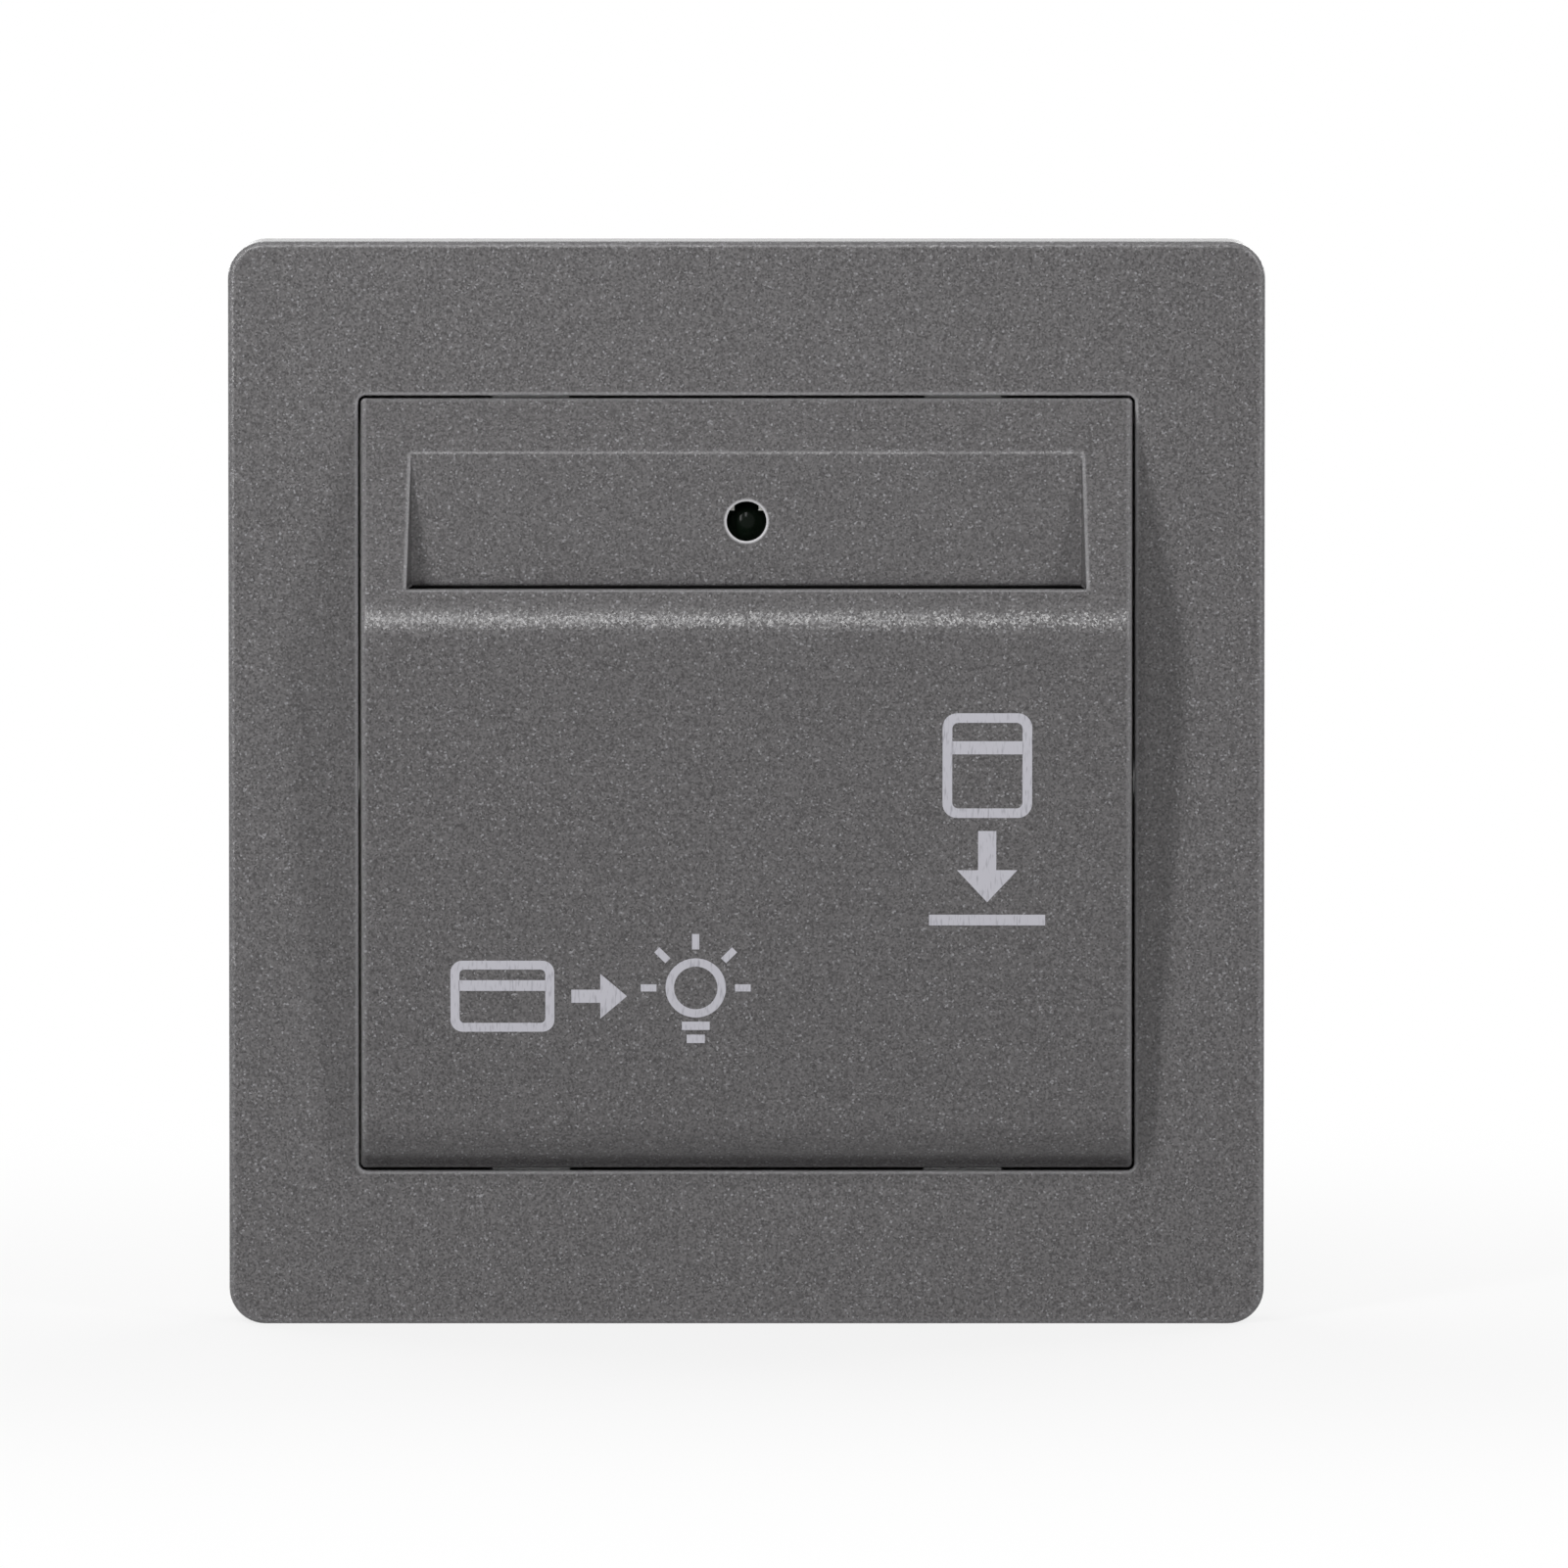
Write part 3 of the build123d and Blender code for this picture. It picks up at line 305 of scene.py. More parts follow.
@dataclass(frozen=True)
class PlatedMetal(Finish):
    """Barrel-plated or tinned metal.

    To the eye it has a soft gloss, faint stains and short fine scratches one way. Real scratches are a few
    microns wide, too fine to show, so they are drawn coarser.
    """

    stain: str = "8F8A7C"
    stain_mm: float = 1.6
    stain_range: Range = (0.5, 0.8)
    stain_most: float = 0.5
    scratch_mm: float = 0.05
    scratch_stretch: float = 14.0
    gloss_range: Range = (-0.08, 0.1)

    def draw(self, tree: bpy.types.NodeTree, shader: bpy.types.Node, place: Socket) -> None:
        """Stain the colour in patches and vary the gloss along scratches.

        Args:
            tree: The material's node tree.
            shader: Its Principled BSDF.
            place: The object coordinates, in metres.
        """
        add = partial(add_node, tree)
        patches = add("ShaderNodeTexNoise", {
            "Vector": place, "Scale": 1 / (self.stain_mm * MM), "Detail": 3.0})
        amount = add("ShaderNodeMapRange", {
            "Value": patches.outputs["Fac"], "From Min": self.stain_range[0], "From Max": self.stain_range[1],
            "To Max": self.stain_most})
        tint = add("ShaderNodeMix", {
            "Factor": amount.outputs["Result"], "A": linear(self.colour), "B": linear(self.stain)},
            data_type="RGBA")
        tree.links.new(tint.outputs["Result"], shader.inputs["Base Color"])
        drawn = add("ShaderNodeMapping", {"Vector": place, "Scale": (1.0, 1.0, self.scratch_stretch)})
        scratches = add("ShaderNodeTexNoise", {
            "Vector": drawn.outputs["Vector"], "Scale": 1 / (self.scratch_mm * self.scratch_stretch * MM),
            "Detail": 1.0})
        dull = add("ShaderNodeMapRange", {
            "Value": scratches.outputs["Fac"], "To Min": self.roughness + self.gloss_range[0],
            "To Max": self.roughness + self.gloss_range[1]})
        tree.links.new(dull.outputs["Result"], shader.inputs["Roughness"])


@dataclass(frozen=True)
class TrackedLaminate(Finish):
    """Glass-epoxy laminate under green solder resist: copper tracks show as paler, raised lines."""

    track: str = "2F7A45"
    track_pitch_mm: float = 2.54
    track_width_share: float = 0.3
    track_height_mm: float = 0.03
    track_bend_mm: float = 11.0

    def draw(self, tree: bpy.types.NodeTree, shader: bpy.types.Node, place: Socket) -> None:
        """Draw tracks that run upright and step sideways now and then.

        Args:
            tree: The material's node tree.
            shader: Its Principled BSDF.
            place: The object coordinates, in metres.
        """
        add = partial(add_node, tree)
        steps = add("ShaderNodeTexVoronoi", {"Vector": place, "Scale": 1 / (self.track_bend_mm * MM)},
                    distance="MANHATTAN")
        bands = add("ShaderNodeTexWave", {
            "Vector": place, "Scale": FULL_TURN / (WAVE_RATE * self.track_pitch_mm * MM), "Distortion": 0.0},
            bands_direction="X")
        shifted = add("ShaderNodeMath", {0: bands.outputs["Fac"], 1: steps.outputs["Distance"]},
                      operation="ADD")
        part = add("ShaderNodeMath", {0: shifted.outputs["Value"], 1: 1.0}, operation="FRACT")
        line = add("ShaderNodeMath", {0: part.outputs["Value"], 1: self.track_width_share},
                   operation="LESS_THAN")
        tint = add("ShaderNodeMix", {
            "Factor": line.outputs["Value"], "A": linear(self.colour), "B": linear(self.track)},
            data_type="RGBA")
        tree.links.new(tint.outputs["Result"], shader.inputs["Base Color"])
        raised = add("ShaderNodeBump", {
            "Height": line.outputs["Value"], "Strength": 1.0, "Distance": self.track_height_mm * MM})
        tree.links.new(raised.outputs["Normal"], shader.inputs["Normal"])


@dataclass(frozen=True)
class PadInk(Finish):
    """Pad-printed ink: pale and flat, with the thin diagonal lines that the pad's wipe leaves."""

    thin: str = "A3A2AA"
    line_mm: float = 0.16
    line_stretch: float = 9.0
    line_degrees: float = 45.0
    line_range: Range = (0.55, 0.75)

    def draw(self, tree: bpy.types.NodeTree, shader: bpy.types.Node, place: Socket) -> None:
        """Thin the ink along short diagonal lines.

        Args:
            tree: The material's node tree.
            shader: Its Principled BSDF.
            place: The object coordinates, in metres.
        """
        add = partial(add_node, tree)
        along = add("ShaderNodeMapping", {
            "Vector": place, "Rotation": (0.0, math.radians(self.line_degrees), 0.0),
            "Scale": (1.0, 1.0, 1 / self.line_stretch)})
        wipes = add("ShaderNodeTexNoise", {
            "Vector": along.outputs["Vector"], "Scale": 1 / (self.line_mm * MM), "Detail": 1.0})
        amount = add("ShaderNodeMapRange", {
            "Value": wipes.outputs["Fac"], "From Min": self.line_range[0], "From Max": self.line_range[1]})
        tint = add("ShaderNodeMix", {
            "Factor": amount.outputs["Result"], "A": linear(self.colour), "B": linear(self.thin)},
            data_type="RGBA")
        tree.links.new(tint.outputs["Result"], shader.inputs["Base Color"])


# The panel and the module: sprayed lacquer gives a warm dark grey that sparkles finely.
GRAPHITE = FlakeLacquer("graphite_flake_lacquer_on_abs", "737172", 0.42, ior=1.12, coat=0.8,
                        coat_roughness=0.2)
# Unpainted mouldings: the tool's grain takes the gloss off.
BLACK_ABS = MouldedPlastic("black_abs_spark_eroded", "202021", 0.5, ior=1.53, cloud_colour="262627")
WHITE_PC = MouldedPlastic("white_polycarbonate_moulded", "E4E4E0", 0.42, ior=1.58, cloud_colour="DCDCD6")
GREEN_PA = MouldedPlastic("green_polyamide_moulded", "2F8F57", 0.45, ior=1.53, cloud_colour="2A8550")
RED_POM = MouldedPlastic("red_acetal_moulded", "AE2F26", 0.35, ior=1.48, cloud_colour="A32A22")
# Cases of bought-in parts: polished tools leave them smoother and glossier.
BLUE_PBT = MouldedPlastic("blue_polyester_relay_case", "2455A6", 0.3, ior=1.57, cloud_colour="20509E",
                          grain_depth_mm=0.001)
YELLOW_PP = MouldedPlastic("yellow_polypropylene_capacitor_case", "DDB84A", 0.32, ior=1.49,
                           cloud_colour="D4AE40", grain_depth_mm=0.001)
# Moulding compound is dull and slightly sandy. A dipped coat and a shrunk sleeve are wavy and glossier.
BLACK_EPOXY = MouldedPlastic("black_epoxy_moulding_compound", "252526", 0.55, ior=1.55,
                             cloud_colour="2B2B2B", grain_mm=0.12, grain_depth_mm=0.006)
DIPPED_EPOXY = MouldedPlastic("blue_dipped_epoxy", "3C6EAF", 0.38, ior=1.55, cloud_colour="3767A8",
                              grain_mm=0.8, grain_depth_mm=0.01)
PVC_SLEEVE = MouldedPlastic("dark_shrunk_pvc_sleeve", "262A38", 0.28, ior=1.53, cloud_colour="222634",
                            grain_mm=1.5)
# Resistors: a thin lacquer on ceramic, banded with paint.
LACQUERED_CERAMIC = MouldedPlastic("blue_lacquered_ceramic", "86A9B8", 0.4, ior=1.5, cloud_colour="7FA3B3")
BAND_PAINT = MouldedPlastic("brown_band_paint", "6B3A22", 0.4, ior=1.5, cloud_colour="63351E")
# The lens: cast epoxy, so dark that only its gloss shows.
SMOKED_LENS = MouldedPlastic("smoked_green_epoxy_lens", "0C120D", 0.14, ior=1.15, cloud_colour="0E160F",
                             grain_depth_mm=0.0005)
# Metals: zinc is bluish and soft, tin on brass is warmer, solder is bright where it has flowed.
ZINC_STEEL = PlatedMetal("zinc_plated_steel", "BFC3C6", 0.32, metallic=1.0)
TINNED_BRASS = PlatedMetal("tinned_brass", "D6D2C8", 0.28, metallic=1.0, stain="A89F88")
SOLDER = PlatedMetal("tin_solder", "C9CACA", 0.22, metallic=1.0, stain="9A9A96")
# The board: a deep green gloss with paler lines in it.
LAMINATE = TrackedLaminate("green_resist_on_glass_epoxy", "1B5C33", 0.34, ior=1.55)
# The signs: a flat pale grey on the dark lacquer.
SIGN_INK = PadInk("pale_grey_pad_ink", "C3C2CA", 0.5, ior=1.5)


def dress(finish: Finish, *nodes: str) -> None:
    """Give CAD nodes a finish.

    Args:
        finish: The finish that they get.
        *nodes: The nodes' names.
    """
    for name in nodes:
        for material_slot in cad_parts[name].material_slots:
            material_slot.material = finish.material()
        LOG.info("%s: %s", name, finish.name)


def add_piece(name: str, mesh: bpy.types.Mesh, body: str,
              replaced: Sequence[str] = ()) -> bpy.types.Object:
    """Link a finished mesh as a piece of the object.

    Args:
        name: The piece's name.
        mesh: Its mesh, in place.
        body: The body that it rides on.
        replaced: The CAD nodes that it stands for.

    Returns:
        The piece.
    """
    piece = bpy.data.objects.new(name, mesh)
    bpy.context.scene.collection.objects.link(piece)
    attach(piece, body)
    if replaced:
        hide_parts(*replaced)
    LOG.info("%s: %d faces on %s", name, len(mesh.polygons), body)
    return piece


def first_of(group: dict[int, int], index: int) -> int:
    """Follow the links between joined vertices, and shorten them on the way.

    Args:
        group: The vertex that each vertex is linked to.
        index: Where to start.

    Returns:
        The first vertex of the group, which is linked to itself.
    """
    while group[index] != index:
        group[index] = group[group[index]]
        index = group[index]
    return index


def node_middles(node: str) -> list[Vector]:
    """Find the separate solids of a CAD node.

    Args:
        node: The node's name.

    Returns:
        The middle of each solid's box, from left to right and then upwards.
    """
    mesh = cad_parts[node].data
    corner_of: dict[tuple, int] = {}
    leader = []
    for vertex in mesh.vertices:
        key = tuple(round(c / MM, WELD_DIGITS) for c in vertex.co)
        leader.append(corner_of.setdefault(key, vertex.index))
    group = {index: index for index in set(leader)}
    for face in mesh.polygons:
        first = first_of(group, leader[face.vertices[0]])
        for index in face.vertices[1:]:
            group[first_of(group, leader[index])] = first
    members: dict[int, list[Vector]] = {}
    for index in group:
        members.setdefault(first_of(group, index), []).append(mesh.vertices[index].co)
    middles = []
    for points in members.values():
        low = Vector([min(p[axis] for p in points) for axis in range(3)])
        high = Vector([max(p[axis] for p in points) for axis in range(3)])
        middles.append((low + high) / 2)
    return sorted(middles, key=lambda middle: (round(middle.x / MM), round(middle.z / MM)))


@dataclass
class GeometryTree:
    """A Geometry Nodes tree in the making, with named inputs and one material."""

    name: str
    finish: Finish
    inputs: dict[str, float | int]
    tree: bpy.types.NodeTree = field(init=False)
    entry: bpy.types.Node = field(init=False)

    def __post_init__(self) -> None:
        """Start the tree with its geometry sockets and a socket for each named input."""
        self.tree = bpy.data.node_groups.new(self.name, "GeometryNodeTree")
        for side in ("INPUT", "OUTPUT"):
            self.tree.interface.new_socket("Geometry", in_out=side, socket_type="NodeSocketGeometry")
        for name, value in self.inputs.items():
            kind = "NodeSocketInt" if isinstance(value, int) else "NodeSocketFloat"
            self.tree.interface.new_socket(name, in_out="INPUT", socket_type=kind)
        self.entry = self.tree.nodes.new("NodeGroupInput")

    def __getitem__(self, name: str) -> Socket:
        """Return a named input's socket."""
        return self.entry.outputs[name]

    def add(self, kind: str, inputs: dict | None = None, **settings: object) -> Socket:
        """Add a node as add_node does, and return its first output."""
        return add_node(self.tree, kind, inputs, **settings).outputs[0]

    def lift(self, geometry: Socket, height: Socket) -> Socket:
        """Return the geometry moved up along +Z."""
        return self.add("GeometryNodeTransform", {
            "Geometry": geometry, "Translation": self.add("ShaderNodeCombineXYZ", {"Z": height})})

    def close(self, instance: Socket, turn: tuple[float, float, float], smooth_below: float) -> None:
        """End the tree: an instance on each point, made real, shaded and given its material.

        Args:
            instance: What stands on each point.
            turn: How it is turned there, about X, Y and Z.
            smooth_below: Edges flatter than this, in degrees, are shaded smooth.
        """
        placed = self.add("GeometryNodeInstanceOnPoints", {
            "Points": self["Geometry"], "Instance": instance, "Rotation": turn})
        real = self.add("GeometryNodeRealizeInstances", {"Geometry": placed})
        angle = self.add("GeometryNodeInputMeshEdgeAngle")
        sharp = self.add("ShaderNodeMath", {0: angle, 1: math.radians(smooth_below)},
                         operation="GREATER_THAN")
        soft = self.add("GeometryNodeSetShadeSmooth", {"Geometry": real, "Shade Smooth": True}, domain="FACE")
        creased = self.add("GeometryNodeSetShadeSmooth", {
            "Geometry": soft, "Selection": sharp, "Shade Smooth": False}, domain="EDGE")
        coloured = self.add("GeometryNodeSetMaterial", {
            "Geometry": creased, "Material": self.finish.material()})
        add_node(self.tree, "NodeGroupOutput", {"Geometry": coloured})

    def run(self, points: Sequence[Vector]) -> bpy.types.Mesh:
        """Grow the tree on a set of points.

        Args:
            points: Where the tree's instances go.

        Returns:
            A plain mesh, in place.
        """
        seed = bpy.data.meshes.new(self.name)
        seed.from_pydata([tuple(point) for point in points], [], [])
        carrier = bpy.data.objects.new(self.name, seed)
        bpy.context.scene.collection.objects.link(carrier)
        modifier = carrier.modifiers.new(self.name, "NODES")
        modifier.node_group = self.tree
        for item in self.tree.interface.items_tree:
            if item.in_out == "INPUT" and item.name in self.inputs:
                modifier[item.identifier] = self.inputs[item.name]
        graph = bpy.context.evaluated_depsgraph_get()
        mesh = bpy.data.meshes.new_from_object(carrier.evaluated_get(graph), depsgraph=graph)
        bpy.data.objects.remove(carrier)
        bpy.data.meshes.remove(seed)
        return mesh


@dataclass(frozen=True)
class ScrewSize:
    """Sizes of one kind of screw, in millimetres."""

    head_radius: float
    head_height: float
    shank_radius: float
    shank_length: float
    drive_width: float
    drive_depth: float
    thread_pitch: float = 0.8
    point_length: float = 1.2


@dataclass
class ScrewSet:
    """Identical screws in one CAD node, remade with a drive, a thread and a point."""

    node: str
    body: str
    way: Way
    drive: Drive
    size: ScrewSize
    sides: int = 36
    thread_steps: int = 20
    ridge_sides: int = 4
    rim_share: float = 0.55
    dome_share: float = 0.72
    core_share: float = 0.8
    point_share: float = 0.25
    smooth_below: float = 32.0

    def head_seats(self) -> list[Vector]:
        """Find where the screws sit.

        Returns:
            The point under each head, where head and shank meet.
        """
        direction = Matrix.Rotation(self.way.value[0], 3, "X") @ Vector((0, 0, 1))
        length = self.size.head_height + self.size.shank_length
        shift = direction * (length / 2 - self.size.head_height) * MM
        return [middle + shift for middle in node_middles(self.node)]

    def blank(self, made: GeometryTree, core_radius: Socket, core_length: Socket) -> Socket:
        """Build the head, the core and the point.

        Args:
            made: The screw's tree.
            core_radius: The radius at the thread's root.
            core_length: The length from the head to the point.

        Returns:
            One closed solid whose head stands on the origin.
        """
        math_node = partial(made.add, "ShaderNodeMath")
        rim_height = math_node({0: made["Head Height"], 1: self.rim_share}, operation="MULTIPLY")
        dome_height = math_node({0: made["Head Height"], 1: rim_height}, operation="SUBTRACT")
        dome_radius = math_node({0: made["Head Radius"], 1: self.dome_share}, operation="MULTIPLY")
        tip_radius = math_node({0: core_radius, 1: self.point_share}, operation="MULTIPLY")
        rim = made.add("GeometryNodeMeshCylinder", {
            "Radius": made["Head Radius"], "Depth": rim_height, "Vertices": self.sides})
        dome = made.add("GeometryNodeMeshCone", {
            "Radius Bottom": made["Head Radius"], "Radius Top": dome_radius, "Depth": dome_height,
            "Vertices": self.sides})
        core = made.add("GeometryNodeMeshCylinder", {
            "Radius": core_radius, "Depth": core_length, "Vertices": self.sides})
        tip = made.add("GeometryNodeMeshCone", {
            "Radius Top": core_radius, "Radius Bottom": tip_radius, "Depth": made["Point Length"],
            "Vertices": self.sides})
        return made.add("GeometryNodeMeshBoolean", {"Mesh 2": [
            made.lift(rim, math_node({0: rim_height, 1: 2.0}, operation="DIVIDE")),
            made.lift(dome, rim_height),
            made.lift(core, math_node({0: core_length, 1: -2.0}, operation="DIVIDE")),
            made.lift(tip, math_node({0: made["Shank Length"], 1: -1.0}, operation="MULTIPLY")),
        ]}, operation="UNION", solver="EXACT")

    def cutter(self, made: GeometryTree) -> Socket:
        """Build the bars that cut the drive into the head.

        Args:
            made: The screw's tree.

        Returns:
            The crossed bars, half of their height in the head.
        """
        math_node = partial(made.add, "ShaderNodeMath")
        size = made.add("ShaderNodeCombineXYZ", {
            "X": math_node({0: made["Head Radius"], 1: self.drive.value[1]}, operation="MULTIPLY"),
            "Y": made["Drive Width"],
            "Z": math_node({0: made["Drive Depth"], 1: 2.0}, operation="MULTIPLY")})
        bar = made.add("GeometryNodeMeshCube", {"Size": size})
        step = math_node({0: math.pi, 1: made["Drive Bars"]}, operation="DIVIDE")
        angle = math_node({0: made.add("GeometryNodeInputIndex"), 1: step}, operation="MULTIPLY")
        fan = made.add("GeometryNodeMeshLine", {"Count": made["Drive Bars"], "Offset": (0.0, 0.0, 0.0)})
        crossed = made.add("GeometryNodeInstanceOnPoints", {
            "Points": fan, "Instance": bar, "Rotation": made.add("ShaderNodeCombineXYZ", {"Z": angle})})
        return made.add("GeometryNodeRealizeInstances", {"Geometry": made.lift(crossed, made["Head Height"])})

    def thread(self, made: GeometryTree, core_radius: Socket, core_length: Socket) -> Socket:
        """Wind the thread's ridge round the core.

        Args:
            made: The screw's tree.
            core_radius: The radius at the thread's root.
            core_length: The length from the head to the point.

        Returns:
            The ridge, from the point up to a pitch below the head.
        """
        math_node = partial(made.add, "ShaderNodeMath")
        length = math_node({0: core_length, 1: made["Thread Pitch"]}, operation="SUBTRACT")
        helix = made.add("GeometryNodeCurveSpiral", {
            "Rotations": math_node({0: length, 1: made["Thread Pitch"]}, operation="DIVIDE"),
            "Start Radius": core_radius, "End Radius": core_radius, "Height": length,
            "Resolution": self.thread_steps})
        ridge = made.add("GeometryNodeCurvePrimitiveCircle", {
            "Radius": math_node({0: made["Shank Radius"], 1: core_radius}, operation="SUBTRACT"),
            "Resolution": self.ridge_sides})
        wound = made.add("GeometryNodeCurveToMesh", {
            "Curve": helix, "Profile Curve": ridge, "Fill Caps": True})
        return made.lift(wound, math_node({0: core_length, 1: -1.0}, operation="MULTIPLY"))

    def tree(self) -> GeometryTree:
        """Build the tree that makes one screw on each point.

        Returns:
            The tree; before it is turned, the screw's head is up along +Z.
        """
        sizes = {name.replace("_", " ").title(): value * MM for name, value in asdict(self.size).items()}
        made = GeometryTree(f"{self.node}_tree", ZINC_STEEL, sizes | {"Drive Bars": self.drive.value[0]})
        math_node = partial(made.add, "ShaderNodeMath")
        core_radius = math_node({0: made["Shank Radius"], 1: self.core_share}, operation="MULTIPLY")
        core_length = math_node({0: made["Shank Length"], 1: made["Point Length"]}, operation="SUBTRACT")
        driven = made.add("GeometryNodeMeshBoolean", {
            "Mesh 1": self.blank(made, core_radius, core_length), "Mesh 2": self.cutter(made)},
            operation="DIFFERENCE", solver="EXACT")
        thread = self.thread(made, core_radius, core_length)
        screw = made.add("GeometryNodeJoinGeometry", {0: [driven, thread]})
        made.close(screw, self.way.value, self.smooth_below)
        return made

    def build(self) -> None:
        """Replace the CAD node by the detailed screws."""
        mesh = self.tree().run(self.head_seats())
        add_piece(f"{self.node}_threaded", mesh, self.body, [self.node])


@dataclass
class FaceProbe:
    """Finds a CAD node's front surface, so that a print can sit on it."""

    node: str
    tree: BVHTree = field(init=False)

    def __post_init__(self) -> None:
        """Read the node's faces."""
        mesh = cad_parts[self.node].data
        points = [vertex.co.copy() for vertex in mesh.vertices]
        self.tree = BVHTree.FromPolygons(points, [list(face.vertices) for face in mesh.polygons])

    def front(self, x: float, z: float) -> Vector:
        """Find the frontmost point of the node.

        Args:
            x: Where to look, in metres.
            z: Where to look, in metres.

        Returns:
            The point, in metres.
        """
        hit = self.tree.ray_cast(Vector((x, -1.0, z)), Vector((0, 1, 0)))[0]
        if hit is None:
            raise ValueError(f"{self.node} has no front at {x:.4f}, {z:.4f}")
        return hit

    def patch(self, x: float, z: float, reach: float) -> Matrix:
        """Find a flat patch of the front.

        Args:
            x: The patch's middle.
            z: The patch's middle.
            reach: How far above and below the slope is measured.

        Returns:
            A matrix whose X runs right, Y up along the face and Z out of it.
        """
        middle = self.front(x, z)
        up = (self.front(x, z + reach) - self.front(x, z - reach)).normalized()
        right = Vector((1, 0, 0))
        out = right.cross(up)
        turn = Matrix((right, up, out)).transposed().to_4x4()
        return Matrix.Translation(middle) @ turn


def arc_points(x: float, y: float, radius: float, start: float, end: float, steps: int) -> Loop:
    """Lay points along an arc.

    Args:
        x: The arc's centre.
        y: The arc's centre.
        radius: Its radius.
        start: The angle of its first point, in degrees from +X.
        end: The angle of its last point.
        steps: How many straight steps it has.

    Returns:
        The points in order, both ends included.
    """
    angles = [math.radians(start + (end - start) * i / steps) for i in range(steps + 1)]
    return [(x + radius * math.cos(a), y + radius * math.sin(a)) for a in angles]


def rounded_loop(width: float, height: float, corner: float, steps: int = 8) -> Loop:
    """Round a rectangle's corners.

    Args:
        width: Its width.
        height: Its height.
        corner: The corners' radius.
        steps: How many straight steps each corner has.

    Returns:
        Its outline about the origin.
    """
    loop: Loop = []
    for quarter, (right, top) in enumerate(((1, 1), (-1, 1), (-1, -1), (1, -1))):
        centre_x, centre_y = right * (width / 2 - corner), top * (height / 2 - corner)
        loop += arc_points(centre_x, centre_y, corner, 90 * quarter, 90 * quarter + 90, steps)
    return loop


@dataclass(frozen=True, kw_only=True)
class Figure:
    """A filled figure in a sign, in millimetres: where its middle is and how it is turned."""

    x: float = 0.0
    y: float = 0.0
    degrees: float = 0.0

    def outlines(self) -> list[Loop]:
        """Return its outline and the holes in it, about the origin."""
        raise NotImplementedError

    def loops(self) -> list[Loop]:
        """Return its outline and the holes in it, in place."""
        c, s = math.cos(math.radians(self.degrees)), math.sin(math.radians(self.degrees))
        return [[(self.x + px * c - py * s, self.y + px * s + py * c) for px, py in loop]
                for loop in self.outlines()]


@dataclass(frozen=True, kw_only=True)
class Bar(Figure):
    """A plain bar."""

    width: float
    height: float

    def outlines(self) -> list[Loop]:
        """Return its four corners."""
        right, top = self.width / 2, self.height / 2
        return [[(-right, -top), (right, -top), (right, top), (-right, top)]]


@dataclass(frozen=True, kw_only=True)
class Card(Figure):
    """A card drawn as a rounded line."""

    width: float
    height: float
    line: float
    corner: float
    inner_corner: float

    def outlines(self) -> list[Loop]:
        """Return the line's outer and inner edges."""
        return [rounded_loop(self.width, self.height, self.corner),
                rounded_loop(self.width - 2 * self.line, self.height - 2 * self.line, self.inner_corner)]


@dataclass(frozen=True, kw_only=True)
class Arrow(Figure):
    """A plain arrow that points along +X before it is turned."""

    length: float
    shaft: float
    head: float
    head_length: float

    def outlines(self) -> list[Loop]:
        """Return its seven corners."""
        tail, neck, tip = -self.length / 2, self.length / 2 - self.head_length, self.length / 2
        thin, wide = self.shaft / 2, self.head / 2
        return [[(tail, -thin), (neck, -thin), (neck, -wide), (tip, 0.0), (neck, wide), (neck, thin),
                 (tail, thin)]]


@dataclass(frozen=True, kw_only=True)
class Ring(Figure):
    """A ring, such as a lamp's glass."""

    radius: float
    line: float
    sides: int = 48

    def outlines(self) -> list[Loop]:
        """Return the line's outer and inner edges."""
        last = 360 - 360 / self.sides
        return [arc_points(0.0, 0.0, radius, 0, last, self.sides - 1)
                for radius in (self.radius, self.radius - self.line)]


def lamp_rays(x: float, y: float, distance: float = 3.9) -> list[Bar]:
    """Set short rays round the upper half of a lamp.

    Args:
        x: The lamp's middle.
        y: The lamp's middle.
        distance: How far the rays' middles are from it.

    Returns:
        The rays.
    """
    return [Bar(width=1.3, height=0.6, degrees=angle, x=x + distance * math.cos(math.radians(angle)),
                y=y + distance * math.sin(math.radians(angle))) for angle in (0, 45, 90, 135, 180)]


CARD_GOES_IN = (
    Card(width=7.4, height=8.8, line=0.8, corner=1.2, inner_corner=0.5, y=4.6),
    Bar(width=5.9, height=1.1, y=6.1),
    Arrow(length=6.0, shaft=1.5, head=5.0, head_length=2.7, y=-3.9, degrees=-90.0),
    Bar(width=9.6, height=0.9, y=-8.4),
)
LIGHT_COMES_ON = (
    Card(width=8.6, height=6.0, line=0.75, corner=1.0, inner_corner=0.4, x=-7.6),
    Bar(width=7.2, height=0.9, x=-7.6, y=0.9),
    Arrow(length=4.6, shaft=1.1, head=3.8, head_length=2.2, x=0.4),
    Ring(radius=2.5, line=0.7, x=8.4, y=0.7),
    Bar(width=2.3, height=0.7, x=8.4, y=-2.5),
    Bar(width=1.5, height=0.7, x=8.4, y=-3.6),
    *lamp_rays(8.4, 0.7),
)


